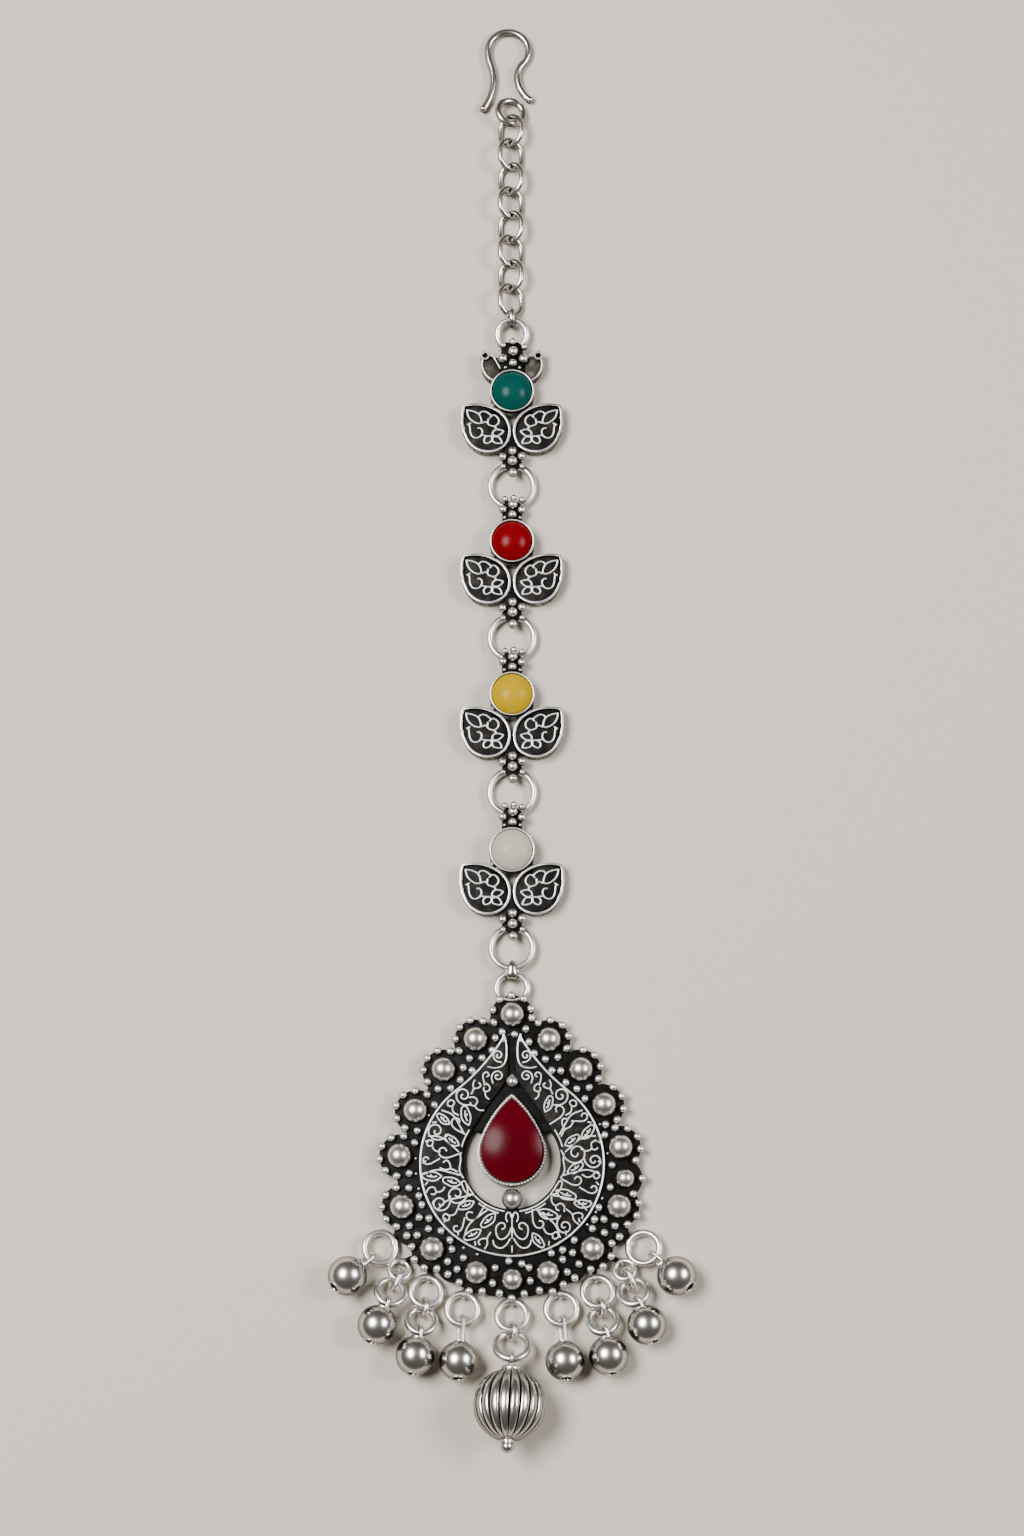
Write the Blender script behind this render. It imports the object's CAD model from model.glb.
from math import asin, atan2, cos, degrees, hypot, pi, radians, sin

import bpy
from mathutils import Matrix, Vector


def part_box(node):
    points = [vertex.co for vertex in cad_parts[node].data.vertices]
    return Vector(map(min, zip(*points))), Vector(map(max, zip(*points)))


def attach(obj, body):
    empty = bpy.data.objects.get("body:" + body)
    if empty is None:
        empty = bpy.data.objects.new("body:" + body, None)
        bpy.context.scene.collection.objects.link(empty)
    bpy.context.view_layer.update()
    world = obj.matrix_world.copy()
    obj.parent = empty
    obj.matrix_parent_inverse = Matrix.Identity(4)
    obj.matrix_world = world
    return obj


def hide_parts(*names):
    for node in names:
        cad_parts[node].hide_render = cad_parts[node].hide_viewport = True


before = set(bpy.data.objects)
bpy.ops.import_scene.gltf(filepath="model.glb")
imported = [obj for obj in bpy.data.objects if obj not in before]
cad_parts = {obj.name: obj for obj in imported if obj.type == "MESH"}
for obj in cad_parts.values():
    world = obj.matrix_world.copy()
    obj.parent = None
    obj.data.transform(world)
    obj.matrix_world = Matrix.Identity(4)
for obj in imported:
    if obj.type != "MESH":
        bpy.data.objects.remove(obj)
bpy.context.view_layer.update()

# %% [markdown]
# # A silver maang tikka
# This jewel lies along a hair parting. A wire hook and a short chain hold a strand of four little
# plates, each with a round stone between two engraved leaves, and a teardrop pendant hangs below
# with a wine-red pear stone, a rim of domes and granules, and nine drops. The notebook starts from
# the engineering solids, which give every place and size, and makes each visible piece again with
# the smoothness, relief and blackened hollows that a silversmith would give it.

MM = 0.001
print("solids in the frame:", len(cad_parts))

# %% [markdown]
# ## Small helpers
# Blender's operators act on what is selected, so every step starts from a clean selection. Sizes are
# written in millimetres, as a jeweller would, and turned into metres where a shape is made.


# %% Selecting, joining and settling a piece
def pick(*pieces):
    """Select only these objects; the first is the active one."""
    if bpy.context.mode != "OBJECT":
        bpy.ops.object.mode_set(mode="OBJECT")
    bpy.ops.object.select_all(action="DESELECT")
    for piece in pieces:
        piece.select_set(True)
    bpy.context.view_layer.objects.active = pieces[0]


def apply_place(piece):
    """Write the object's place into its mesh, so that it sits at the origin."""
    pick(piece)
    bpy.ops.object.transform_apply(location=True, rotation=True, scale=True)
    return piece


def join(name, pieces):
    """One object from several."""
    pick(*pieces)
    bpy.ops.object.join()
    piece = bpy.context.object
    piece.name = name
    piece.data.name = name
    return apply_place(piece)


def copy_of(piece, offset=(0, 0, 0)):
    """A copy with its own mesh, moved in millimetres."""
    twin = piece.copy()
    twin.data = piece.data.copy()
    bpy.context.scene.collection.objects.link(twin)
    twin.matrix_world = Matrix.Translation(Vector(offset) * MM)
    return twin


def set_at(piece, placement):
    """Move a piece to a placement and write it into the mesh."""
    piece.matrix_world = placement
    return apply_place(piece)


def discard(*pieces):
    """Remove models that were only there to be copied, or to cut with."""
    for piece in pieces:
        bpy.data.objects.remove(piece, do_unlink=True)


def smooth(piece, angle=40.0):
    """Shade smooth, apart from edges sharper than the angle."""
    pick(piece)
    bpy.ops.object.shade_smooth_by_angle(angle=radians(angle))
    return piece


def select_points(piece, test):
    """Go to edit mode with the vertices selected whose place, in millimetres, passes the test."""
    bpy.ops.object.mode_set(mode="EDIT")
    bpy.ops.mesh.select_mode(type="VERT")
    bpy.ops.mesh.select_all(action="DESELECT")
    bpy.ops.object.mode_set(mode="OBJECT")
    for point in piece.data.vertices:
        point.select = test(point.co / MM)
    bpy.ops.object.mode_set(mode="EDIT")


def paint(piece, *materials):
    """Give a piece its materials; the first covers it all."""
    piece.data.materials.clear()
    for material in materials:
        piece.data.materials.append(material)
    return piece


def paint_faces(piece, index, test):
    """Move the faces that pass the test to another of the piece's materials."""
    for face in piece.data.polygons:
        if test(face.center / MM, face.normal):
            face.material_index = index


def finish_piece(piece, node):
    """Ride on the jewel's one body, take a finish from the record, and stand for a CAD node."""
    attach(piece, "root")
    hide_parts(node)
    print(piece.name, "faces:", len(piece.data.polygons))


# %% [markdown]
# ## Camera, light and floor
# The jewel lies flat and is seen from almost straight above, a little from the pendant's end, so the
# walls nearest the viewer just show. Polished silver shows whatever is round it, so the studio is
# mostly what the metal reflects: a broad soft light on the left, a second one on the right, and a
# darker gap between them that runs down the middle of every bead.

# %% Camera
VIEW_ELEVATION = 78.0
VIEW_DISTANCE = 420.0
VIEW_TARGET = (0.0, -7.68, 0.0)
LENS_MM = 78.75
SENSOR_MM = 36.0
NEAREST_SEEN = 0.01     # metres

camera_data = bpy.data.cameras.new("camera")
camera_data.lens = LENS_MM
camera_data.sensor_fit = "VERTICAL"
camera_data.sensor_height = SENSOR_MM
camera_data.sensor_width = SENSOR_MM
camera = bpy.data.objects.new("camera", camera_data)
bpy.context.scene.collection.objects.link(camera)
camera.location = Vector((
    VIEW_TARGET[0],
    VIEW_TARGET[1] - VIEW_DISTANCE * cos(radians(VIEW_ELEVATION)),
    VIEW_TARGET[2] + VIEW_DISTANCE * sin(radians(VIEW_ELEVATION)),
)) * MM
camera.rotation_euler = (radians(90 - VIEW_ELEVATION), 0, 0)
camera_data.clip_start = NEAREST_SEEN
bpy.context.scene.camera = camera
print("camera at", tuple(round(v, 3) for v in camera.location))


# %% Soft lights
LIGHT_DISTANCE = 700.0


def soft_light(name, side_angle, back_angle, width, height, power):
    """An oval light at angles from straight above, in degrees, aimed at the jewel's middle."""
    data = bpy.data.lights.new(name, "AREA")
    data.shape = "ELLIPSE"
    data.size = width * MM
    data.size_y = height * MM
    data.energy = power
    lamp = bpy.data.objects.new(name, data)
    bpy.context.scene.collection.objects.link(lamp)
    turn = Matrix.Rotation(radians(side_angle), 4, "Y") @ Matrix.Rotation(radians(-back_angle), 4, "X")
    lamp.matrix_world = turn @ Matrix.Translation((0, 0, LIGHT_DISTANCE * MM))
    return lamp


soft_light("left_light", side_angle=-27, back_angle=6, width=300, height=430, power=7.4)
soft_light("right_light", side_angle=45, back_angle=4, width=210, height=380, power=3.5)

# %% Surroundings
world = bpy.data.worlds.new("studio")
world.use_nodes = True
bpy.context.scene.world = world
backdrop = world.node_tree.nodes["Background"]
backdrop.inputs["Color"].default_value = (0.90, 0.88, 0.85, 1)
backdrop.inputs["Strength"].default_value = 0.08

# %% Floor
FLOOR_SIZE = 3000.0
FLOOR_DROP = 0.02       # just under the jewel, so that the two never touch
bpy.ops.object.select_all(action="DESELECT")
bpy.ops.mesh.primitive_plane_add(size=FLOOR_SIZE * MM, location=(0, 0, -FLOOR_DROP * MM))
floor = bpy.context.object
floor.name = "floor"
floor_paint = bpy.data.materials.new("pale_floor")
floor_paint.use_nodes = True
floor_look = floor_paint.node_tree.nodes["Principled BSDF"]
floor_look.inputs["Base Color"].default_value = (0.66, 0.59, 0.50, 1)
floor_look.inputs["Roughness"].default_value = 0.7
floor.data.materials.append(floor_paint)

# %% [markdown]
# ## Finishes
# The jewel is oxidised silver: the whole piece is dipped until it is black, then polished, so only
# the high places are bright again. Three shared effects make that from numbers: fine hand polish,
# patina that stays low down, and a mottled black ground. Each is a node group with named values, and
# each finish keeps its own Principled shader.


# %% Node helpers
def new_material(name):
    """A material with its Principled shader, ready for wiring."""
    material = bpy.data.materials.new(name)
    material.use_nodes = True
    tree = material.node_tree
    return material, tree, tree.nodes["Principled BSDF"]


def new_group(name, inputs, outputs):
    """A node group with named sockets; inputs are (name, type, value)."""
    group = bpy.data.node_groups.new(name, "ShaderNodeTree")
    for label, kind, value in inputs:
        socket = group.interface.new_socket(name=label, in_out="INPUT", socket_type=kind)
        if value is not None:
            socket.default_value = value
    for label, kind in outputs:
        group.interface.new_socket(name=label, in_out="OUTPUT", socket_type=kind)
    return group, group.nodes.new("NodeGroupInput"), group.nodes.new("NodeGroupOutput")


def add_node(tree, kind, settings=None, **values):
    """A node with its properties and the values of its sockets."""
    node = tree.nodes.new(kind)
    for key, value in (settings or {}).items():
        setattr(node, key, value)
    for key, value in values.items():
        node.inputs[key.replace("_", " ")].default_value = value
    return node


def feed(source, out_socket, target, in_socket):
    """Wire one node's output to another's input; a socket is given by its name or its number."""
    source.id_data.links.new(source.outputs[out_socket], target.inputs[in_socket])


def add_math(tree, operation, *sources):
    """A Math node fed by (node, socket) pairs, in order; a bare number is set on its socket."""
    node = add_node(tree, "ShaderNodeMath", {"operation": operation})
    for number, source in enumerate(sources):
        if isinstance(source, tuple):
            feed(*source, node, number)
        else:
            node.inputs[number].default_value = source
    return node


MIX_A, MIX_B, MIX_RESULT = 6, 7, 2      # the colour sockets of a Mix node


def add_mix(tree, mask, socket):
    """A colour Mix node, driven by a mask."""
    node = add_node(tree, "ShaderNodeMix", {"data_type": "RGBA"})
    feed(mask, socket, node, 0)
    return node


# %% Fine hand polish: faint scratches and clouding
polish, polish_in, polish_out = new_group(
    "hand_polish",
    [("Grain", "NodeSocketFloat", 900.0), ("Least", "NodeSocketFloat", 0.16),
     ("Most", "NodeSocketFloat", 0.30), ("Depth", "NodeSocketFloat", 0.08)],
    [("Roughness", "NodeSocketFloat"), ("Height", "NodeSocketFloat")],
)
place = add_node(polish, "ShaderNodeTexCoord")
clouds = add_node(polish, "ShaderNodeTexNoise", {"noise_dimensions": "3D"}, Detail=4.0)
feed(place, "Object", clouds, "Vector")
feed(polish_in, "Grain", clouds, "Scale")
spread = add_node(polish, "ShaderNodeMapRange")
feed(clouds, "Fac", spread, "Value")
feed(polish_in, "Least", spread, "To Min")
feed(polish_in, "Most", spread, "To Max")
feed(spread, "Result", polish_out, "Roughness")
deepened = add_math(polish, "MULTIPLY", (clouds, "Fac"), (polish_in, "Depth"))
feed(deepened, 0, polish_out, "Height")
print("hand polish:", len(polish.nodes), "nodes")

# %% Patina that stays low and on the sides, where a polishing wheel doesn't reach
patina, patina_in, patina_out = new_group(
    "low_patina",
    [("Bright", "NodeSocketColor", (0.8, 0.79, 0.77, 1)),
     ("Dark", "NodeSocketColor", (0.02, 0.018, 0.015, 1)),
     ("Low", "NodeSocketFloat", 0.0012), ("High", "NodeSocketFloat", 0.0016),
     ("Unevenness", "NodeSocketFloat", 0.0003), ("Raggedness", "NodeSocketFloat", 0.0),
     ("Side", "NodeSocketFloat", 0.25), ("Top", "NodeSocketFloat", 0.70)],
    [("Color", "NodeSocketColor")],
)
place = add_node(patina, "ShaderNodeTexCoord")
axes = add_node(patina, "ShaderNodeSeparateXYZ")
feed(place, "Object", axes, "Vector")
blotches = add_node(patina, "ShaderNodeTexNoise", {}, Scale=1400.0, Detail=3.0)
feed(place, "Object", blotches, "Vector")
centred = add_math(patina, "SUBTRACT", (blotches, "Fac"), 0.5)

# high enough to be rubbed bright
uneven_height = add_math(patina, "MULTIPLY_ADD", (centred, 0), (patina_in, "Unevenness"), (axes, "Z"))
rubbed = add_node(patina, "ShaderNodeMapRange", {"interpolation_type": "SMOOTHSTEP"})
feed(uneven_height, 0, rubbed, "Value")
feed(patina_in, "Low", rubbed, "From Min")
feed(patina_in, "High", rubbed, "From Max")

# level enough for the wheel, whether it faces up or down
facing_axes = add_node(patina, "ShaderNodeSeparateXYZ")
feed(place, "Normal", facing_axes, "Vector")
flatness = add_math(patina, "ABSOLUTE", (facing_axes, "Z"))
tilt = add_math(patina, "MULTIPLY_ADD", (centred, 0), (patina_in, "Raggedness"), (flatness, 0))
wheeled = add_node(patina, "ShaderNodeMapRange", {"interpolation_type": "SMOOTHSTEP"})
feed(tilt, 0, wheeled, "Value")
feed(patina_in, "Side", wheeled, "From Min")
feed(patina_in, "Top", wheeled, "From Max")

worn = add_math(patina, "MULTIPLY", (rubbed, "Result"), (wheeled, "Result"))
tint = add_mix(patina, worn, 0)
feed(patina_in, "Dark", tint, MIX_A)
feed(patina_in, "Bright", tint, MIX_B)
feed(tint, MIX_RESULT, patina_out, "Color")
print("low patina:", len(patina.nodes), "nodes")


# %% Silver in its several finishes
WHOLE_HEIGHT = (-2.0, -1.0)     # below the floor, so that no height is black


def silver(name, bright, least, most, grain=900.0, depth=0.05, patina_span=WHOLE_HEIGHT,
           facing=(0.20, 0.66), unevenness=0.0001, raggedness=0.02):
    """Polished silver, between its least and most roughness. patina_span is the heights, in millimetres,
    and facing the upward parts of the normal, between black and bright."""
    material, tree, shader = new_material(name)
    shader.inputs["Metallic"].default_value = 1.0
    polish_node = add_node(tree, "ShaderNodeGroup", {"node_tree": polish}, Grain=grain, Least=least,
                           Most=most, Depth=depth)
    feed(polish_node, "Roughness", shader, "Roughness")
    bump = add_node(tree, "ShaderNodeBump", {}, Strength=0.25, Distance=0.00004)
    feed(polish_node, "Height", bump, "Height")
    feed(bump, "Normal", shader, "Normal")
    patina_node = add_node(tree, "ShaderNodeGroup", {"node_tree": patina}, Bright=bright,
                           Low=patina_span[0] * MM, High=patina_span[1] * MM, Side=facing[0], Top=facing[1],
                           Unevenness=unevenness, Raggedness=raggedness)
    feed(patina_node, "Color", shader, "Base Color")
    return material


bright_wire = silver("bright_wire", (0.92, 0.89, 0.85, 1), 0.28, 0.36, facing=(0.05, 0.54))
worn_wire = silver("worn_wire", (0.86, 0.80, 0.74, 1), 0.17, 0.25, facing=(0.18, 0.84))
ball_silver = silver("ball_silver", (0.92, 0.87, 0.81, 1), 0.22, 0.27, depth=0.02, facing=(0.14, 0.94))
relief_silver = silver("relief_silver", (0.95, 0.94, 0.92, 1), 0.28, 0.42)
dome_silver = silver("dome_silver", (0.80, 0.75, 0.70, 1), 0.30, 0.38, grain=2200.0, depth=0.15,
                     patina_span=(1.35, 1.95), facing=(0.12, 0.72))
granule_silver = silver("granule_silver", (0.99, 0.96, 0.92, 1), 0.32, 0.44, patina_span=(1.05, 1.35),
                        facing=(0.15, 0.68))
strand_granules = silver("strand_granules", (0.93, 0.89, 0.84, 1), 0.26, 0.38, patina_span=(1.30, 1.65),
                         facing=(0.22, 0.74))


# %% Blackened ground: nearly black, with soft brown-grey smudges
SMUDGE_START, SMUDGE_FULL = 0.47, 0.78


def blackened(name, low, high, metallic=0.0, roughness=(0.45, 0.65), scale=700.0, shine=0.3):
    """Silver left dark; low and high are its colours between the smudges and in them."""
    material, tree, shader = new_material(name)
    shader.inputs["Metallic"].default_value = metallic
    shader.inputs["Specular IOR Level"].default_value = shine
    place = add_node(tree, "ShaderNodeTexCoord")
    smudge = add_node(tree, "ShaderNodeTexNoise", {}, Scale=scale, Detail=5.0, Roughness=0.6)
    feed(place, "Object", smudge, "Vector")
    ramp = add_node(tree, "ShaderNodeValToRGB")
    for stop, where, colour in zip(ramp.color_ramp.elements, (SMUDGE_START, SMUDGE_FULL), (low, high)):
        stop.position = where
        stop.color = colour
    feed(smudge, "Fac", ramp, "Fac")
    feed(ramp, "Color", shader, "Base Color")
    spread = add_node(tree, "ShaderNodeMapRange", {}, To_Min=roughness[1], To_Max=roughness[0])
    feed(smudge, "Fac", spread, "Value")
    feed(spread, "Result", shader, "Roughness")
    bump = add_node(tree, "ShaderNodeBump", {}, Strength=0.5, Distance=0.00008)
    feed(smudge, "Fac", bump, "Height")
    feed(bump, "Normal", shader, "Normal")
    return material


black_ground = blackened("black_ground", (0.002, 0.0015, 0.001, 1), (0.010, 0.008, 0.006, 1), shine=0.12)
engraved_ground = blackened("engraved_ground", (0.003, 0.002, 0.0015, 1), (0.038, 0.031, 0.025, 1),
                            scale=900.0, shine=0.14)
cup_floor = blackened("cup_floor", (0.045, 0.038, 0.030, 1), (0.20, 0.18, 0.155, 1), metallic=0.7,
                      scale=900.0)
side_silver = blackened("side_silver", (0.05, 0.04, 0.03, 1), (0.42, 0.38, 0.34, 1), metallic=1.0,
                        roughness=(0.25, 0.45), scale=1000.0)
back_silver = blackened("back_silver", (0.13, 0.115, 0.10, 1), (0.27, 0.245, 0.215, 1), metallic=1.0,
                        roughness=(0.36, 0.50), scale=260.0)


# %% Stones: polished glass, a little deeper in colour towards the rim
GLASS_ROUGHNESS = 0.24
GLASS_IOR = 1.5
GLASS_SHINE = 0.10
GLASS_MILKINESS = 0.05
LIGHT_REACH = 0.6               # how far light travels inside the glass, in millimetres
CLOUDING = 0.9                  # how far clouds shift the change of colour, in millimetres
COLOUR_SPAN = (0.45, 1.25)      # where the colour changes, as shares of the stone's radius


def stone_glass(name, centre, rim, middle, radius):
    """Glass whose colour changes from its middle to its rim; middle is in millimetres."""
    material, tree, shader = new_material(name)
    place = add_node(tree, "ShaderNodeTexCoord")
    shift = add_node(tree, "ShaderNodeMapping", {"vector_type": "POINT"}, Location=-Vector(middle) * MM)
    feed(place, "Object", shift, "Vector")
    length = add_node(tree, "ShaderNodeVectorMath", {"operation": "LENGTH"})
    feed(shift, "Vector", length, 0)
    clouding = add_node(tree, "ShaderNodeTexNoise", {}, Scale=450.0, Detail=3.0)
    feed(place, "Object", clouding, "Vector")
    uneven = add_math(tree, "MULTIPLY_ADD", (clouding, "Fac"), CLOUDING * MM, (length, "Value"))
    reach = add_node(tree, "ShaderNodeMapRange", {"interpolation_type": "SMOOTHSTEP"},
                     From_Min=COLOUR_SPAN[0] * radius * MM, From_Max=COLOUR_SPAN[1] * radius * MM)
    feed(uneven, 0, reach, "Value")
    tint = add_mix(tree, reach, "Result")
    tint.inputs[MIX_A].default_value = centre
    tint.inputs[MIX_B].default_value = rim
    feed(tint, MIX_RESULT, shader, "Base Color")
    shader.inputs["Roughness"].default_value = GLASS_ROUGHNESS
    shader.inputs["IOR"].default_value = GLASS_IOR
    shader.inputs["Specular IOR Level"].default_value = GLASS_SHINE
    shader.inputs["Subsurface Weight"].default_value = GLASS_MILKINESS
    shader.inputs["Subsurface Radius"].default_value = [LIGHT_REACH * MM] * 3
    shader.inputs["Subsurface Scale"].default_value = 1.0
    return material


print("finishes:", [m.name for m in bpy.data.materials if m.users])

# %% [markdown]
# ## Round wire: rings and links
# Every ring is a length of round wire bent until its ends meet, and the hairline where they meet
# shows. A disc the size of the wire is spun almost all the way round the ring's middle, which leaves
# that cut open and both ends closed. A link starts as a full ring whose two halves are pulled apart.

# %% Wire sizes, in millimetres, as on the solids
link_ring_wire = 0.35
crown_ring_wire = 0.38
chain_wire = 0.31
connector_wire = 0.275
end_ring_wire = 0.42
bail_wire = 0.27
drop_wire = 0.345
small_wire = 0.25
lower_wire = 0.325
round_link_wire = 0.24
WIRE_SIDES = 16
RING_STEPS = 56
CUT_ANGLE = 1.2             # the hairline where a ring's ends meet, in degrees
LINK_SIDES = 14
LINK_STEPS = 48


# %% A ring and a link
def frame_matrix(centre, across, normal):
    """Placement whose local X is across and local Z is normal; the centre is in millimetres."""
    z = Vector(normal).normalized()
    x = Vector(across).normalized()
    y = z.cross(x)
    turn = Matrix((x, y, z)).transposed().to_4x4()
    return Matrix.Translation(Vector(centre) * MM) @ turn


def ring(name, placement, radius, wire, cut_at, material):
    """A ring of round wire with its cut at an angle from local X."""
    bpy.ops.object.select_all(action="DESELECT")
    bpy.ops.mesh.primitive_circle_add(vertices=WIRE_SIDES, radius=wire * MM, fill_type="NGON",
                                      location=(radius * MM, 0, 0), rotation=(radians(90), 0, 0))
    piece = bpy.context.object
    piece.name = name
    bpy.ops.object.transform_apply(location=True, rotation=True, scale=True)
    bpy.ops.object.mode_set(mode="EDIT")
    bpy.ops.mesh.select_all(action="SELECT")
    bpy.ops.mesh.spin(steps=RING_STEPS, angle=radians(360 - CUT_ANGLE), center=(0, 0, 0), axis=(0, 0, 1))
    bpy.ops.mesh.select_all(action="SELECT")
    bpy.ops.mesh.normals_make_consistent(inside=False)
    bpy.ops.object.mode_set(mode="OBJECT")
    set_at(piece, placement @ Matrix.Rotation(radians(cut_at + CUT_ANGLE / 2), 4, "Z"))
    paint(piece, material)
    return smooth(piece)


def torus(name, radius, wire, steps, sides, centre=(0, 0, 0), turn=(0, 0, 0)):
    """A closed ring of round wire; the turn is in degrees."""
    bpy.ops.object.select_all(action="DESELECT")
    bpy.ops.mesh.primitive_torus_add(major_segments=steps, minor_segments=sides, major_radius=radius * MM,
                                     minor_radius=wire * MM, location=Vector(centre) * MM,
                                     rotation=[radians(angle) for angle in turn])
    piece = bpy.context.object
    piece.name = name
    return piece


def link(name, placement, half_length, half_width, wire, material, broad=1.0):
    """A closed link of wire, long side along local X; broad widens the wire across the link."""
    piece = torus(name, half_width, wire, LINK_STEPS, LINK_SIDES)
    stretch = half_length - half_width
    nearly_middle = 0.001
    for side in (1, -1):
        select_points(piece, lambda p: p.x * side > nearly_middle)
        bpy.ops.transform.translate(value=(side * stretch * MM, 0, 0))
    bpy.ops.mesh.select_all(action="SELECT")
    bpy.ops.transform.resize(value=(1, 1, broad), center_override=(0, 0, 0))
    bpy.ops.object.mode_set(mode="OBJECT")
    set_at(piece, placement)
    paint(piece, material)
    return smooth(piece)


# %% Where a ring lies: from its solid's box
def box_mm(node):
    """The low and high corners of a solid, in millimetres."""
    low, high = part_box(node)
    return low / MM, high / MM


WIRE_SWELL = 0.075      # solder and polish leave a ring's wire a little stouter outwards


def ring_from_box(node, radius, wire, heading, cut_at):
    """A ring whose centre and tilt are read from its solid; it climbs towards its heading."""
    low, high = box_mm(node)
    centre = (low + high) / 2
    centre.z += WIRE_SWELL
    lift = max(0.0, (high.z - low.z) / 2 - wire)
    rise = asin(min(1.0, lift / radius))
    h = radians(heading)
    across = (cos(h) * cos(rise), sin(h) * cos(rise), sin(rise))
    normal = (-cos(h) * sin(rise), -sin(h) * sin(rise), cos(rise))
    piece = ring(node, frame_matrix(centre, across, normal), radius + WIRE_SWELL, wire + WIRE_SWELL, cut_at,
                 bright_wire)
    finish_piece(piece, node)


# %% [markdown]
# ## The strand's rings, the chain and the bail
# The rings between the plates lie flat. The crown ring and the last ring climb to reach an upright
# link. The chain's links lean left and right by turns, which is how a chain lies when it is laid out.

# %% Rings of the strand: node, radius, wire, heading and where the ring's ends meet
for row in (("crown_ring", 1.80, crown_ring_wire, 90, -60),
            ("link_ring_1", 2.70, link_ring_wire, 90, 150),
            ("link_ring_2", 2.70, link_ring_wire, 90, 28),
            ("link_ring_3", 2.70, link_ring_wire, 90, 205),
            ("link_ring_4", 2.50, link_ring_wire, -90, 160)):
    ring_from_box(*row)

# %% Chain links
CHAIN_LINKS = 8
CHAIN_LEAN = 35.0
CHAIN_HALF_WIDTH = 1.65
CHAIN_SWELL = 0.03      # the chain's wire and the end ring's are only a little stouter

for i in range(CHAIN_LINKS):
    node = f"chain_link_{i + 1}"
    low, high = box_mm(node)
    lean = radians(CHAIN_LEAN if i % 2 == 0 else -CHAIN_LEAN)
    place = frame_matrix((low + high) / 2, (0, 1, 0), (-sin(lean), 0, cos(lean)))
    half_length = (high.y - low.y) / 2 - chain_wire
    piece = link(node, place, half_length, CHAIN_HALF_WIDTH, chain_wire + CHAIN_SWELL, worn_wire)
    finish_piece(piece, node)

# %% End ring: it rises towards the hook and leans on the last link
END_RING_RADIUS = 1.70
END_RING_LIFT = 0.06
END_RING_CUT = 208
end_rise, end_lean = radians(10), radians(18)
low, high = box_mm("end_ring")
end_across = Vector((0, cos(end_rise), -sin(end_rise)))
end_side = Vector((cos(end_lean), 0, -sin(end_lean)))
end_centre = (low + high) / 2 + Vector((0, 0, END_RING_LIFT))
end_place = frame_matrix(end_centre, end_across, end_side.cross(end_across))
end_piece = ring("end_ring", end_place, END_RING_RADIUS, end_ring_wire + CHAIN_SWELL, END_RING_CUT,
                 worn_wire)
finish_piece(end_piece, "end_ring")

# %% Connector and bail: node, half length, half width and wire
CAST_BREADTH = 1.3      # both are broader across than drawn wire
BAIL_FOOT = 0.3
BAIL_FULLNESS = 1.95
BAIL_SOFTNESS = 2.6

for node, half_length, half_width, wire in (("connector_link", 1.12, 0.95, connector_wire),
                                            ("bail_link", 1.05, 0.80, bail_wire)):
    low, high = box_mm(node)
    place = frame_matrix((low + high) / 2, (0, 1, 0), (1, 0, 0))
    piece = link(node, place, half_length, half_width, wire, worn_wire, CAST_BREADTH)
    if node == "bail_link":
        # the bail is broad and round below, slimmer above
        select_points(piece, lambda p: p.y < low.y + BAIL_FOOT)
        bpy.ops.transform.resize(value=(BAIL_FULLNESS, 1, 1), center_override=(0, 0, 0),
                                 use_proportional_edit=True, proportional_edit_falloff="SMOOTH",
                                 proportional_size=BAIL_SOFTNESS * MM)
        bpy.ops.object.mode_set(mode="OBJECT")
    finish_piece(piece, node)

# %% [markdown]
# ## The hook
# The hook is one wire bent round a peg, pinched in at the neck and flared at both legs, with its ends
# melted into small balls. A curve follows those bends arc by arc, its round bevel gives the wire, and
# two shrunken spheres close its ends.


# %% A path drawn arc by arc
def arc_on(path, heading, radius, turn, steps=14):
    """Carry a path on along an arc; turn is in degrees, left turns are positive. Returns the heading."""
    x, y = path[-1]
    side = 1 if turn > 0 else -1
    h = radians(heading)
    cx = x - side * radius * sin(h)
    cy = y + side * radius * cos(h)
    for k in range(1, steps + 1):
        a = h + radians(turn) * k / steps
        path.append((cx + side * radius * sin(a), cy - side * radius * cos(a)))
    return heading + turn


def tube(name, paths, radius, height, material, sides=3, smooth_path=False):
    """Round wire along flat paths at one height; all in millimetres. Sides set how round it is."""
    data = bpy.data.curves.new(name, "CURVE")
    data.dimensions = "3D"
    data.bevel_depth = radius * MM
    data.bevel_resolution = sides
    data.resolution_u = 5
    data.use_fill_caps = True
    for path in paths:
        spline = data.splines.new("BEZIER" if smooth_path else "POLY")
        points = spline.bezier_points if smooth_path else spline.points
        points.add(len(path) - 1)
        for point, (x, y) in zip(points, path):
            where = (x * MM, y * MM, height * MM)
            if smooth_path:
                point.co = where
                point.handle_left_type = point.handle_right_type = "AUTO"
            else:
                point.co = (*where, 1)
    wire = bpy.data.objects.new(name, data)
    bpy.context.scene.collection.objects.link(wire)
    pick(wire)
    bpy.ops.object.convert(target="MESH")
    piece = bpy.context.object
    piece.name = name
    paint(piece, material)
    return smooth(piece, 50)


def ball(name, centre, radius, material, segments=20, rings=12, turn=(0, 0, 0)):
    """A round ball; the turn of its poles is in degrees."""
    bpy.ops.object.select_all(action="DESELECT")
    bpy.ops.mesh.primitive_uv_sphere_add(segments=segments, ring_count=rings, radius=radius * MM,
                                         location=Vector(centre) * MM,
                                         rotation=tuple(radians(a) for a in turn))
    piece = bpy.context.object
    piece.name = name
    apply_place(piece)
    paint(piece, material)
    return smooth(piece, 60)


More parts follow.
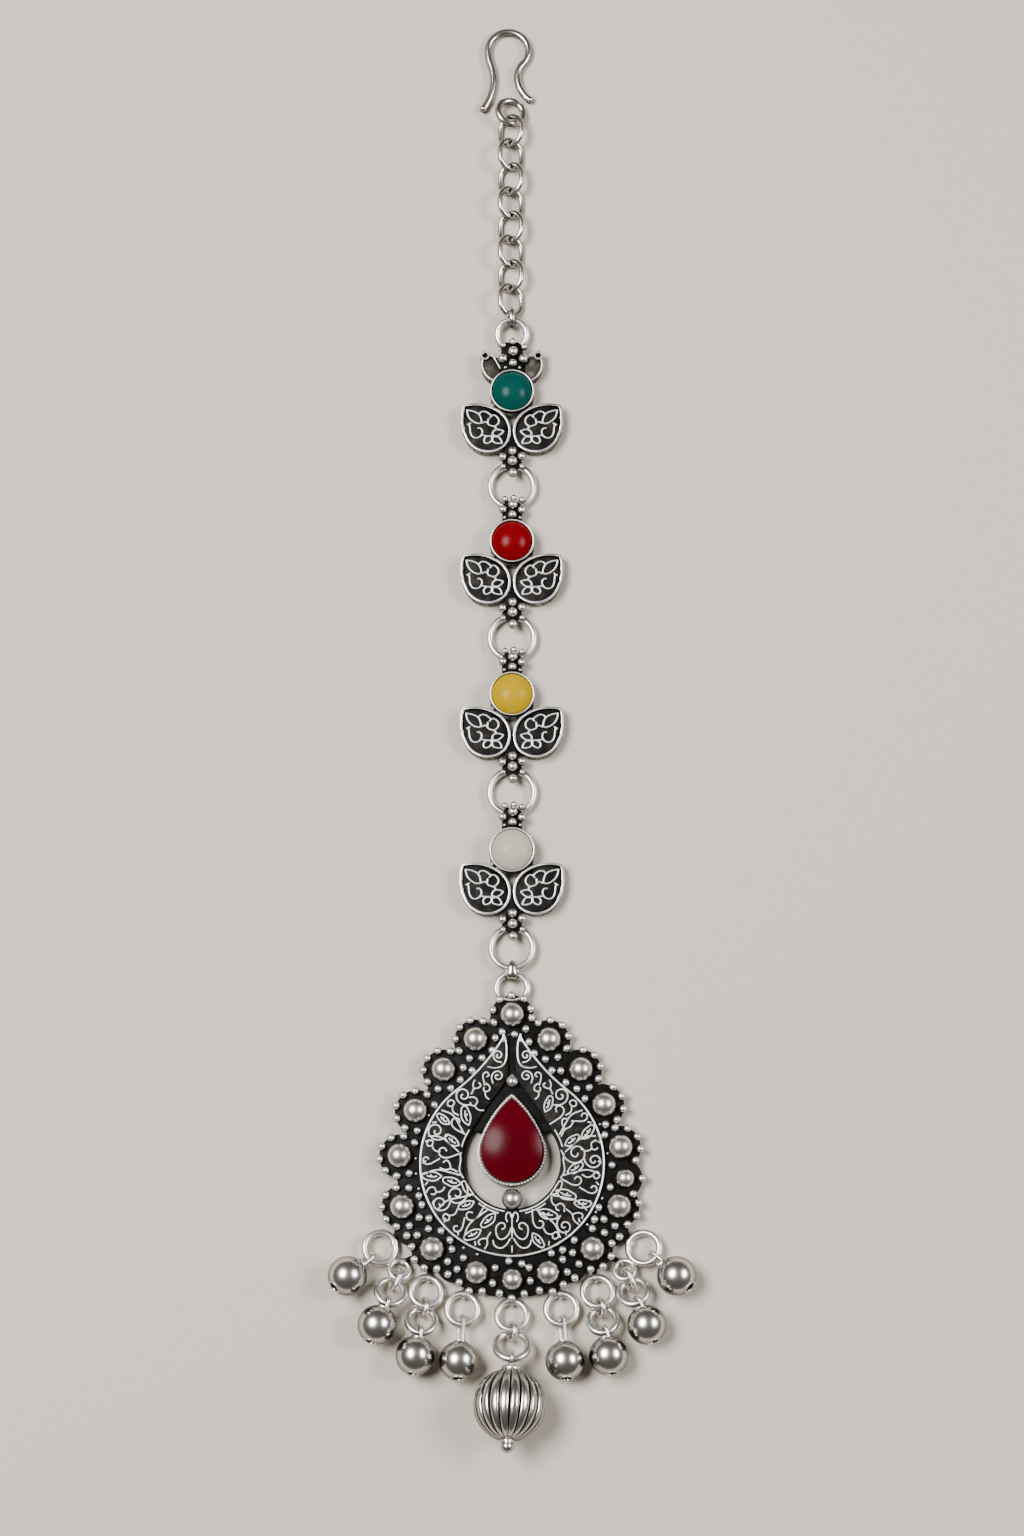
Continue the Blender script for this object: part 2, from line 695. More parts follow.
# %% The hook's wire and ends
HOOK_WIRE = 0.49
HOOK_EYE_RADIUS = 2.64
HOOK_Z = 0.54
HOOK_EYE_X = -0.5
LEFT_END_RADIUS = 0.53
RIGHT_END_RADIUS = 0.54
LEFT_BENDS = ((5.4, 19.75), (6.67, -56.15))                 # radius and turn, from the eye down
RIGHT_BENDS = ((2.6, -43.6), (2.62, 43.6), (4.0, 53.0))


def leg(half_eye, bends):
    """One leg of the hook, from the middle of its eye to its end."""
    path, heading = list(half_eye), -90
    for radius, turn in bends:
        heading = arc_on(path, heading, radius, turn)
    return path


_, hook_high = box_mm("hook")
hook_eye_y = hook_high.y - HOOK_EYE_RADIUS - HOOK_WIRE
half_eye = [(HOOK_EYE_X + HOOK_EYE_RADIUS * cos(radians(a)), hook_eye_y + HOOK_EYE_RADIUS * sin(radians(a)))
            for a in range(90, 181, 6)]
left_leg = leg(half_eye, LEFT_BENDS)
right_leg = leg([(2 * HOOK_EYE_X - x, y) for x, y in half_eye], RIGHT_BENDS)
hook_parts = [
    tube("hook_wire", [left_leg[::-1] + right_leg[1:]], HOOK_WIRE, HOOK_Z, worn_wire, sides=5),
    ball("hook_left_end", (*left_leg[-1], HOOK_Z), LEFT_END_RADIUS, worn_wire),
    ball("hook_right_end", (*right_leg[-1], HOOK_Z), RIGHT_END_RADIUS, worn_wire),
]
finish_piece(join("hook", hook_parts), "hook")

# %% [markdown]
# ## Drops: balls, their rings and links
# Each ball is a hollow bead: two domes soldered together, a flat at the far end with a drilled hole,
# a small collar and a wire loop at the near end. It is modelled once with a short loop and once with
# each longer one, then copied to its places. A turned shape starts as the line of its profile, which
# is spun round its axis the way it would be turned or raised on a lathe.


# %% Turned shapes and softened edges
def turned(name, profile, material, steps=48, closed=False):
    """A shape turned about Z; the profile is a list of (radius, height), in millimetres."""
    data = bpy.data.curves.new(name, "CURVE")
    data.dimensions = "3D"
    spline = data.splines.new("POLY")
    spline.points.add(len(profile) - 1)
    for point, (r, z) in zip(spline.points, profile):
        point.co = (r * MM, 0, z * MM, 1)
    spline.use_cyclic_u = closed
    line = bpy.data.objects.new(name, data)
    bpy.context.scene.collection.objects.link(line)
    pick(line)
    bpy.ops.object.convert(target="MESH")
    piece = bpy.context.object
    piece.name = name
    bpy.ops.object.mode_set(mode="EDIT")
    bpy.ops.mesh.select_all(action="SELECT")
    bpy.ops.mesh.spin(steps=steps, angle=radians(360), center=(0, 0, 0), axis=(0, 0, 1))
    bpy.ops.mesh.select_all(action="SELECT")
    bpy.ops.mesh.remove_doubles(threshold=0.0005 * MM)
    bpy.ops.mesh.normals_make_consistent(inside=False)
    bpy.ops.object.mode_set(mode="OBJECT")
    paint(piece, material)
    return smooth(piece)


def soften(piece, width, angle=35.0, segments=2):
    """Round the sharp edges by a small width in millimetres."""
    pick(piece)
    bevel = piece.modifiers.new("soften", "BEVEL")
    bevel.width = width * MM
    bevel.segments = segments
    bevel.limit_method = "ANGLE"
    bevel.angle_limit = radians(angle)
    bpy.ops.object.modifier_apply(modifier=bevel.name)
    return smooth(piece)


TURN_TO_X = Matrix.Rotation(radians(90), 4, "Y")


# %% One ball, with its axis along X and its loop at the positive end
BALL_RADIUS = 2.38
FLAT_RADIUS = 0.95
HOLE_RADIUS = 0.68
HOLE_FLARE = 0.06
HOLE_END = -1.0
LIP_RADIUS = 0.80
LIP_WIRE = 0.11
COLLAR_START = 2.0
COLLAR_RADIUS = 0.84
COLLAR_END = 2.43
COLLAR_EDGE = 0.06
EYE_RADIUS = 0.62
EYE_WIRE = 0.20
EYE_BREADTH = 1.2
EYE_TURN = 28.0         # the wire loops have turned a little on their axis, so their openings show


def arc_points(radius, start, end, steps, centre=(0, 0)):
    """Points on an arc, in degrees from the positive first axis."""
    return [(centre[0] + radius * cos(radians(start + (end - start) * k / steps)),
             centre[1] + radius * sin(radians(start + (end - start) * k / steps))) for k in range(steps + 1)]


def ball_body():
    """The hollow ball about Z, drilled and flattened at its low end, and its hole's lip, along X."""
    flat_angle = degrees(asin(FLAT_RADIUS / BALL_RADIUS))
    shell = arc_points(BALL_RADIUS, -90 + flat_angle, 90, 30)
    flat_z = shell[0][1]
    profile = [(0, HOLE_END), (HOLE_RADIUS, HOLE_END), (HOLE_RADIUS, flat_z + 0.10),
               (HOLE_RADIUS + HOLE_FLARE, flat_z), (FLAT_RADIUS - 0.04, flat_z)] + shell
    body = turned("ball", profile, ball_silver)
    paint(body, ball_silver, black_ground)
    paint_faces(body, 1, lambda c, n: hypot(c.x, c.y) < HOLE_RADIUS + 0.02 and c.z < 0)
    lip = torus("lip", LIP_RADIUS, LIP_WIRE, 32, 10, (flat_z, 0, 0), (0, 90, 0))
    paint(lip, bright_wire)
    smooth(lip)
    return body, apply_place(lip)


def wire_eye(eye_end):
    """A U of round wire from inside the ball to its far bend, turned a little on its axis."""
    start = BALL_RADIUS - 0.3
    bend = [(eye_end + x, y) for x, y in arc_points(EYE_RADIUS, 90, -90, 14)]
    path = [(start, EYE_RADIUS)] + bend + [(start, -EYE_RADIUS)]
    eye = tube("eye", [path], EYE_WIRE, 0, bright_wire)
    eye.scale = (1, 1, EYE_BREADTH)
    apply_place(eye)
    return set_at(eye, Matrix.Rotation(radians(EYE_TURN), 4, "X"))


def ball_bead(name, eye_end, hole_lift):
    """A ball with its loop's far bend at eye_end; hole_lift turns the drilled end upwards, in degrees."""
    body, lip = ball_body()
    lift = Matrix.Rotation(radians(-hole_lift), 4, "Z")
    set_at(body, lift @ TURN_TO_X)
    collar_profile = [(0, COLLAR_START), (COLLAR_RADIUS, COLLAR_START),
                      (COLLAR_RADIUS, COLLAR_END - COLLAR_EDGE), (COLLAR_RADIUS - COLLAR_EDGE, COLLAR_END),
                      (0, COLLAR_END)]
    collar = set_at(turned("collar", collar_profile, bright_wire, 32), TURN_TO_X)
    return join(name, [body, collar, wire_eye(eye_end), set_at(lip, lift)])


outer_bead = ball_bead("outer_bead", eye_end=3.76, hole_lift=2)
short_bead = ball_bead("short_bead", eye_end=2.92, hole_lift=15)
long_bead = ball_bead("long_bead", eye_end=4.95, hole_lift=3)
print("faces of a ball:", len(short_bead.data.polygons))


# %% Hanging balls and links
def along(place, heading, distance):
    """A place in plan at a distance along a heading."""
    h = radians(heading)
    return Vector((place[0] + distance * cos(h), place[1] + distance * sin(h)))


def far_wire(ring_node, radius, wire, heading):
    """Where a ring's wire is farthest along a heading, in plan; the ring is tilted as its box says."""
    low, high = box_mm(ring_node)
    lift = (high.z - low.z) / 2 - wire
    return along((low + high) / 2, heading, (radius ** 2 - lift ** 2) ** 0.5)


def aimed(middle, heading, rise):
    """Placement of a bead whose loop points along a heading and upwards by a rise, both in radians."""
    towards = (cos(heading) * cos(rise), sin(heading) * cos(rise), sin(rise))
    return frame_matrix(middle, towards, (sin(heading), -cos(heading), 0))


def hung_bead(node, model, wire_at, wire_z, heading, distance):
    """A ball lying on the floor, with its loop round its ring's wire."""
    middle = along(wire_at, heading, distance)
    rise = atan2(wire_z - BALL_RADIUS, distance)
    bead = copy_of(model)
    bead.name = bead.data.name = node
    set_at(bead, aimed((middle.x, middle.y, BALL_RADIUS), radians(heading + 180), rise))
    finish_piece(bead, node)


LINK_RADIUS = 1.03
LINK_TURN = 22.0        # the links have turned a little on their long axis
LINK_BREADTH = 1.25


def upright(node, heading, half_length):
    """A small link that stands on edge between two rings."""
    low, high = box_mm(node)
    h = radians(heading)
    lean = radians(LINK_TURN)
    place = frame_matrix((low + high) / 2, (cos(h), sin(h), 0),
                         (sin(h) * cos(lean), -cos(h) * cos(lean), sin(lean)))
    piece = link(node, place, half_length, LINK_RADIUS, round_link_wire, bright_wire, LINK_BREADTH)
    finish_piece(piece, node)


# %% The drops of one side, from the outermost one inwards
OUTER_HEADING = -41.4           # all headings are those of the right-hand side
OUTER_RADIUS = 1.81
FOURTH_HEADING = -86.31
FOURTH_RADIUS = 1.78
FOURTH_BALL = (6.37, -80.78)
LOWER_RADIUS = 1.60
LOW_WIRE_Z = 1.30               # the wire that a ball hangs on, under a single ring
HIGH_WIRE_Z = 2.50              # and under a ring that hangs from a link
OUTER_REACH = 3.38              # from that wire to the ball's middle
SHORT_REACH = 2.82
SHORT_LINK = LINK_RADIUS + 0.02
SECOND_LINK = 1.35

# name, heading; upper ring's name, radius, wire and cut; link's half length; lower ring's name and cut
two_ring_drops = [
    ("second", -68.47, "second_small_ring", 1.12, small_wire, 100, SECOND_LINK, "second_ring", 75),
    ("third", -80.60, "third_ring", 1.72, drop_wire, 80, SHORT_LINK, "third_lower_ring", 250),
]


def drops_of(side):
    """The four drops of the left or the right side."""
    mirror = -1 if side == "left" else 1

    def on_side(angle):
        """A heading drawn on the right, as this side has it."""
        return 180 - angle if side == "left" else angle

    heading = on_side(OUTER_HEADING)
    ring_from_box(f"{side}_outer_ring", OUTER_RADIUS, drop_wire, heading, 120)
    wire_at = far_wire(f"{side}_outer_ring", OUTER_RADIUS, drop_wire, heading)
    hung_bead(f"{side}_outer_ball", outer_bead, wire_at, LOW_WIRE_Z, heading, OUTER_REACH)

    for name, angle, upper, radius, wire, upper_cut, half_length, lower, lower_cut in two_ring_drops:
        heading = on_side(angle)
        ring_from_box(f"{side}_{upper}", radius, wire, heading, upper_cut)
        upright(f"{side}_{name}_link", heading, half_length)
        ring_from_box(f"{side}_{lower}", LOWER_RADIUS, lower_wire, heading, lower_cut)
        wire_at = far_wire(f"{side}_{lower}", LOWER_RADIUS, lower_wire, heading)
        hung_bead(f"{side}_{name}_ball", short_bead, wire_at, HIGH_WIRE_Z, heading, SHORT_REACH)

    heading = on_side(FOURTH_HEADING)
    ring_from_box(f"{side}_fourth_ring", FOURTH_RADIUS, drop_wire, heading, 95)
    wire_at = far_wire(f"{side}_fourth_ring", FOURTH_RADIUS, drop_wire, heading)
    reach = hypot(wire_at.x - mirror * FOURTH_BALL[0], wire_at.y - FOURTH_BALL[1])
    hung_bead(f"{side}_fourth_ball", long_bead, wire_at, LOW_WIRE_Z, heading, reach)


drops_of("right")
drops_of("left")
discard(outer_bead, short_bead, long_bead)

# %% The middle drop's rings and link
MIDDLE_HEADING = -90
BEAD_RING_RADIUS = 1.90
ring_from_box("centre_ring", 1.72, drop_wire, MIDDLE_HEADING, 100)
upright("centre_link", MIDDLE_HEADING, SHORT_LINK)
ring_from_box("centre_lower_ring", BEAD_RING_RADIUS, drop_wire, MIDDLE_HEADING, 70)

# %% [markdown]
# ## The fluted bead
# The large bead is a melon bead: a round shell with twenty grooves pressed from pole to pole. A sphere
# gets ten columns of faces to a lobe, the column lines in the grooves are drawn in towards the axis
# and blackened, and a turned collar, a cap, a loop and a little finial ball finish its two ends.

# %% Melon body
BEAD_RADIUS = 4.33
FLUTES = 20
COLUMNS = 10                                # of faces to a lobe
LOBE = 360 / FLUTES                         # degrees
DRAWN_IN = (0.92, 0.965, 0.985, 0.996)      # radius kept at a groove, and one, two and three columns off
POLE_RADIUS = 0.5                           # nearer the axis than this, the bead stays round

bpy.ops.object.select_all(action="DESELECT")
bpy.ops.mesh.primitive_uv_sphere_add(segments=FLUTES * COLUMNS, ring_count=44, radius=BEAD_RADIUS * MM)
melon = bpy.context.object


def columns_off(p):
    """How many columns a point is from the nearest groove."""
    column = round(degrees(atan2(p.y, p.x)) / LOBE * COLUMNS) % COLUMNS
    return min(column, COLUMNS - column)


def in_groove(centre, _):
    """Whether a face has an edge on a groove's line."""
    from_crest = abs(degrees(atan2(centre.y, centre.x)) % LOBE - LOBE / 2)
    return from_crest > LOBE / 2 - LOBE / COLUMNS


for off, share in enumerate(DRAWN_IN):
    select_points(melon, lambda p: columns_off(p) == off and hypot(p.x, p.y) > POLE_RADIUS)
    bpy.ops.transform.resize(value=(share, share, 1), center_override=(0, 0, 0))
bpy.ops.object.mode_set(mode="OBJECT")
paint(melon, ball_silver, black_ground)
paint_faces(melon, 1, in_groove)
smooth(melon, 75)
print("lobes:", FLUTES, "faces:", len(melon.data.polygons))

# %% Collar, neck and finial
top_profile = [(0, 4.0), (1.05, 4.0), (1.18, 4.2), (1.2, 4.43), (1.12, 4.63), (0.95, 4.68), (0.42, 4.7),
               (0.42, 5.1), (0, 5.13)]
foot_profile = [(0, -4.0), (0.78, -4.05), (0.86, -4.28), (0.85, -4.5), (0.7, -4.58), (0, -4.58)]
top_collar = turned("bead_collar", top_profile, bright_wire, 36)
foot = turned("bead_foot", foot_profile, bright_wire, 32)
finial = ball("bead_finial", (0, 0, -4.95), 0.78, ball_silver, 32, 20)
for piece in (melon, top_collar, foot, finial):
    set_at(piece, TURN_TO_X)

# %% The bead's loop, and the bead in its place
BEAD_LOOP_RADIUS = 0.66
BEAD_LOOP_WIRE = 0.23
BEAD_WIRE_Z = 3.20                          # its ring's wire, where the loop holds it
bead_middle = Vector((-0.30, -86.02, BEAD_RADIUS + 0.01))
bead_wire_at = far_wire("centre_lower_ring", BEAD_RING_RADIUS, drop_wire, MIDDLE_HEADING)
bead_reach = hypot(bead_wire_at.x - bead_middle.x, bead_wire_at.y - bead_middle.y)
bead_climb = BEAD_WIRE_Z - bead_middle.z
bead_loop = apply_place(torus("bead_loop", BEAD_LOOP_RADIUS, BEAD_LOOP_WIRE, 36, 12,
                              (hypot(bead_climb, bead_reach), 0, 0)))
paint(bead_loop, bright_wire)
smooth(bead_loop)
bead_heading = atan2(bead_wire_at.y - bead_middle.y, bead_wire_at.x - bead_middle.x)
fluted = join("fluted_bead", [melon, top_collar, foot, finial, bead_loop])
set_at(fluted, aimed(bead_middle, bead_heading, atan2(bead_climb, bead_reach)))
finish_piece(fluted, "fluted_bead")

# %% [markdown]
# ## The plates of the strand
# Each plate is sheet and wire: two leaves with a raised rim, scrolls of fine wire on a blackened
# floor, a round bezel, clusters of granules over the eyes, and a bar that holds them together. A flat
# piece starts as its closed outline, filled and given its thickness, and its edges are then softened.


# %% Outlines
SHARPEST = 0.5              # keeps an inset outline's sharp corners from running away


def arc3(start, middle, end, steps=12):
    """Points on the arc through three places, from the first to the last."""
    (ax, ay), (bx, by), (cx, cy) = start, middle, end
    d = 2 * (ax * (by - cy) + bx * (cy - ay) + cx * (ay - by))
    a2, b2, c2 = ax * ax + ay * ay, bx * bx + by * by, cx * cx + cy * cy
    ux = (a2 * (by - cy) + b2 * (cy - ay) + c2 * (ay - by)) / d
    uy = (a2 * (cx - bx) + b2 * (ax - cx) + c2 * (bx - ax)) / d
    radius = hypot(ax - ux, ay - uy)
    first = atan2(ay - uy, ax - ux)
    turn = (atan2(cy - uy, cx - ux) - first) % (2 * pi)
    if (atan2(by - uy, bx - ux) - first) % (2 * pi) > turn:
        turn -= 2 * pi
    return [(ux + radius * cos(first + turn * k / steps), uy + radius * sin(first + turn * k / steps))
            for k in range(steps + 1)]


def inset(outline, distance):
    """A closed outline drawn inwards by a distance; outwards if it is negative."""
    area = sum(p[0] * q[1] - q[0] * p[1] for p, q in zip(outline, outline[1:] + outline[:1]))
    side = 1 if area > 0 else -1
    moved = []
    for i, here in enumerate(outline):
        before, after = Vector(outline[i - 1]), Vector(outline[(i + 1) % len(outline)])
        here = Vector(here)
        come = (here - before).normalized()
        leave = (after - here).normalized()
        normal = Vector((-come.y - leave.y, come.x + leave.x)) * side
        spread = max(SHARPEST, normal.length / 2)
        moved.append(tuple(here + normal.normalized() * distance / spread))
    return moved


def spaced(outline, step):
    """Places at even steps along a closed outline."""
    places = []
    left_over = 0.0
    for p, q in zip(outline, outline[1:] + outline[:1]):
        length = hypot(q[0] - p[0], q[1] - p[1])
        at = left_over
        while at < length:
            share = at / length
            places.append((p[0] + (q[0] - p[0]) * share, p[1] + (q[1] - p[1]) * share))
            at += step
        left_over = at - length
    return places


def flip(outline):
    """The same outline on the other side of the middle line."""
    return [(-x, y) for x, y in outline]


def box_outline(x0, y0, x1, y1):
    """An oblong from its lower left corner to its upper right one."""
    return [(x0, y0), (x1, y0), (x1, y1), (x0, y1)]


# %% Flat pieces with softened edges
def slab(name, outlines, low, high, material, edge=0.05, angle=50.0):
    """A flat piece between two heights, its edges softened; outlines after the first are holes."""
    data = bpy.data.curves.new(name, "CURVE")
    data.dimensions = "2D"
    data.fill_mode = "BOTH"
    data.extrude = (high - low) / 2 * MM
    for outline in outlines:
        spline = data.splines.new("POLY")
        spline.points.add(len(outline) - 1)
        for point, (x, y) in zip(spline.points, outline):
            point.co = (x * MM, y * MM, 0, 1)
        spline.use_cyclic_u = True
    flat = bpy.data.objects.new(name, data)
    bpy.context.scene.collection.objects.link(flat)
    flat.location.z = (low + high) / 2 * MM
    pick(flat)
    bpy.ops.object.convert(target="MESH")
    piece = bpy.context.object
    bpy.ops.object.mode_set(mode="EDIT")
    bpy.ops.mesh.select_all(action="SELECT")
    bpy.ops.mesh.remove_doubles(threshold=0.001 * MM)
    bpy.ops.mesh.normals_make_consistent(inside=False)
    bpy.ops.object.mode_set(mode="OBJECT")
    apply_place(piece)
    paint(piece, material)
    if edge:
        soften(piece, edge, angle)
    return smooth(piece, 45)


# %% Sizes of a plate, from its stone's centre
BEZEL_RADIUS = 2.82
BEZEL_TOP = 2.35
BEZEL_PLAY = 0.04
STONE_RADIUS = 2.55
STONE_SEAT = 1.0
LEAF_TOP = 1.8
LEAF_FLOOR = 1.35
RIM_WIDTH = 0.26
RIM_DEPTH = 0.25            # how far the rim is let into the leaf
SCROLL_WIRE = 0.125
SCROLL_LIFT = 0.06
BACKING_LOW = 1.24
BACKING_TOP = 1.50
NECK_LOW = 0.3
NECK_TOP = 1.4
GRANULE_STAND = 0.4         # how far a granule's middle is above the backing, against its radius
GRANULE_FULLNESS = 1.12
EYE_ABOVE = 4.80
EYE_BELOW = 9.62
CROWN_EYE_ABOVE = 6.10
EYE_TUBE_Z = 0.72
EYE_TUBE_RADIUS = 0.72
EYE_TUBE_LENGTH = 1.0
EYE_TUBE_BORE = 0.50

leaf_outline = (arc3((-6.20, -1.76), (-3.80, -1.62), (-1.36, -2.70))
                + arc3((-1.36, -2.70), (-0.17, -5.00), (-0.90, -7.25), 16)[1:]
                + arc3((-0.90, -7.25), (-3.10, -8.06), (-5.75, -6.40), 16)[1:]
                + [(-6.36, -5.02), (-6.28, -4.92), (-6.44, -4.30), (-6.47, -3.62), (-6.40, -3.50),
                   (-6.44, -3.30), (-6.40, -2.55)])

# the scrolls of a leaf: each row is one bent wire, from end to end
leaf_scrolls = [
    [(-5.77, -2.35), (-4.95, -2.50), (-4.27, -2.86), (-3.98, -3.35), (-3.86, -4.02)],
    [(-5.77, -2.35), (-5.56, -3.15), (-5.03, -3.80), (-4.22, -4.13), (-3.86, -4.02)],
    [(-4.20, -2.90), (-3.98, -2.62), (-3.50, -2.53), (-2.90, -2.85), (-2.66, -3.15), (-2.85, -3.38)],
    [(-2.66, -3.15), (-2.34, -3.02), (-1.85, -3.33), (-1.68, -3.87), (-2.05, -4.41), (-2.45, -4.52)],
    [(-2.98, -3.50), (-3.06, -3.72), (-3.02, -3.98)],
    [(-3.86, -4.10), (-3.28, -3.92), (-2.90, -4.33), (-2.34, -4.52), (-2.07, -4.68), (-2.10, -4.98)],
    [(-5.72, -4.33), (-5.45, -4.18), (-5.23, -4.05)],
    [(-5.45, -4.18), (-5.36, -4.68), (-5.28, -5.35), (-4.94, -5.94), (-4.35, -6.02), (-3.88, -5.62),
     (-3.80, -5.08), (-4.06, -4.76), (-4.38, -4.78)],
    [(-3.94, -5.68), (-3.55, -5.74), (-3.15, -5.80)],
    [(-2.52, -5.66), (-2.34, -5.14), (-1.80, -4.93), (-1.06, -5.13)],
    [(-2.52, -5.66), (-1.98, -5.80), (-1.44, -5.56), (-1.06, -5.13)],
    [(-2.62, -5.82), (-3.20, -5.86), (-3.56, -6.30), (-3.38, -6.74), (-2.88, -6.66), (-2.54, -6.24),
     (-2.62, -5.82)],
    [(-2.46, -5.92), (-2.42, -6.50), (-1.94, -6.76), (-1.26, -6.78)],
    [(-2.46, -5.92), (-1.80, -5.92), (-1.44, -6.25), (-1.26, -6.78)],
]

# granules over the eyes: place from the stone's centre, and radius
top_granules = [
    (0.2, 5.78, 0.38), (-0.9, 5.62, 0.38), (1.2, 5.52, 0.34), (0.1, 4.86, 0.57), (-1.15, 4.24, 0.48),
    (1.2, 4.16, 0.48), (0.05, 3.56, 0.50), (-0.95, 3.2, 0.19), (1.0, 3.2, 0.19),
]
crown_granules = [
    (0.1, 6.72, 0.45), (0.15, 5.38, 0.61), (-1.2, 4.42, 0.58), (1.45, 4.38, 0.59), (0.12, 3.84, 0.51),
    (-1.15, 6.24, 0.38), (-1.6, 5.75, 0.19), (1.55, 6.0, 0.40), (-0.85, 3.28, 0.19), (0.95, 3.28, 0.19),
    (2.35, 4.95, 0.19),
]
bottom_granules = [
    (0.06, -7.89, 0.54), (-1.2, -8.65, 0.51), (1.22, -8.55, 0.51), (0.06, -9.22, 0.60), (-1.12, -9.93, 0.35),
    (1.24, -9.90, 0.35), (0.1, -10.75, 0.54),
]
print("points of a leaf:", len(leaf_outline), "scroll wires:", len(leaf_scrolls))

# %% Finishes of the plates
bezel_silver = silver("bezel_silver", (0.94, 0.93, 0.91, 1), 0.30, 0.40, patina_span=(1.25, 1.95),
                      unevenness=0.00012)
rim_silver = silver("rim_silver", (0.97, 0.96, 0.94, 1), 0.26, 0.38, patina_span=(1.42, 1.70),
                    unevenness=0.00012, facing=(0.05, 0.55))
scroll_silver = silver("scroll_silver", (0.99, 0.98, 0.96, 1), 0.40, 0.50, facing=(-0.05, 0.35))


# %% The parts of one leaf
FILE_MARKS = (27, 30, 32, 34, 37, 40)       # points of the leaf's outline that have a dark mark below
MARK_RADIUS = 0.10
MARK_Z = 0.85


def leaf_parts(turn_over):
    """The left leaf's parts, or the right one's if it is turned over."""
    outline = turn_over(leaf_outline)
    body = slab("leaf_body", [outline], 0.0, LEAF_FLOOR, engraved_ground, 0.04)
    paint(body, engraved_ground, side_silver, back_silver)
    paint_faces(body, 1, lambda c, n: n.z < 0.5)
    paint_faces(body, 2, lambda c, n: n.z < -0.5)
    rim_outlines = [outline, inset(outline, RIM_WIDTH)]
    rim = slab("leaf_rim", rim_outlines, LEAF_FLOOR - RIM_DEPTH, LEAF_TOP, rim_silver, 0.08)
    wires = [turn_over(path) for path in leaf_scrolls]
    scrolls = tube("leaf_scrolls", wires, SCROLL_WIRE, LEAF_FLOOR + SCROLL_LIFT, scroll_silver, 2,
                   smooth_path=True)
    parts = [body, rim, scrolls]
    wall = inset(outline, -0.01)
    for x, y in (wall[k] for k in FILE_MARKS):
        mark = ball("wall_mark", (0, 0, 0), MARK_RADIUS, black_ground, 8, 6)
        mark.scale = (0.7, 0.7, 5.0)
        mark.location = Vector((x, y, MARK_Z)) * MM
        parts.append(apply_place(mark))
    return parts


# %% Setting, tube eyes, backing and granules
def bezel_ring():
    """A round setting: a wall with a soft, bright rim round a flat-bottomed pocket."""
    inner = STONE_RADIUS + BEZEL_PLAY
    lip = (BEZEL_RADIUS - inner) / 2
    profile = [(0, 0), (BEZEL_RADIUS, 0), (BEZEL_RADIUS, BEZEL_TOP - lip)]
    profile += arc_points(lip, 0, 180, 8, (BEZEL_RADIUS - lip, BEZEL_TOP - lip))
    profile += [(inner, STONE_SEAT), (0, STONE_SEAT)]
    bezel = turned("bezel", profile, bezel_silver, 64)
    paint(bezel, bezel_silver, back_silver)
    paint_faces(bezel, 1, lambda c, n: n.z < -0.5)
    return bezel


def pipe_wall(bore, wall, half):
    """Profile of a short pipe about its middle."""
    return [(bore, -half), (wall, -half), (wall, half), (bore, half)]


def eye_tube(y):
    """A tube eye lying across the strand."""
    wall = pipe_wall(EYE_TUBE_BORE, EYE_TUBE_RADIUS, EYE_TUBE_LENGTH / 2)
    pipe = turned("eye_tube", wall, side_silver, 24, closed=True)
    return set_at(pipe, Matrix.Translation((0, y * MM, EYE_TUBE_Z * MM)) @ TURN_TO_X)


def pad(name, arcs):
    """A thin dark backing; its outline is a chain of arcs: radius, start, end, steps and centre."""
    outline = [place for arc in arcs for place in arc_points(*arc)]
    return slab(name, [outline], BACKING_LOW, BACKING_TOP, black_ground)


def granule_cluster(table):
    """Granules on the backing, from their table."""
    return [ball("granule", (x, y, BACKING_TOP + GRANULE_STAND * radius), radius * GRANULE_FULLNESS,
                 strand_granules, 18, 12) for x, y, radius in table]


# %% One plate of the strand
def plate_parts(is_crown):
    """All the parts of one plate, from its stone's centre."""
    above = CROWN_EYE_ABOVE if is_crown else EYE_ABOVE
    half = 1.40 if is_crown else 1.25
    parts = leaf_parts(list) + leaf_parts(flip) + [bezel_ring(), eye_tube(above), eye_tube(-EYE_BELOW)]
    for name, corners, low, high, finish, edge in (
            ("crossbar", (-2.6, -3.1, 2.6, -1.6), 0.2, LEAF_FLOOR, side_silver, 0.08),
            ("upper_neck", (-half, 2.2, half, above - 0.55), NECK_LOW, NECK_TOP, black_ground, 0.05),
            ("lower_neck", (-0.9, -9.07, 0.9, -6.6), NECK_LOW, NECK_TOP, black_ground, 0.05),
            ("left_tab", (-2.7, -2.2, -2.0, -1.2), NECK_LOW, 1.6, side_silver, 0.12),
            ("right_tab", (2.0, -2.2, 2.7, -1.2), NECK_LOW, 1.6, side_silver, 0.12)):
        parts.append(slab(name, [box_outline(*corners)], low, high, finish, edge))
    parts.append(pad("top_pad", [(1.0, -90, 90, 12, (half - 1.0, above - 0.35)),
                                 (1.0, 90, 270, 12, (1.0 - half, above - 0.35))]))
    parts.append(pad("foot_pad", [(0.72, -20, 90, 10, (0.55, 0.15 - EYE_BELOW)),
                                  (0.72, 90, 200, 10, (-0.55, 0.15 - EYE_BELOW)),
                                  (0.45, 190, 350, 12, (0.05, -0.70 - EYE_BELOW))]))
    parts += granule_cluster(crown_granules if is_crown else top_granules)
    return parts + granule_cluster(bottom_granules)


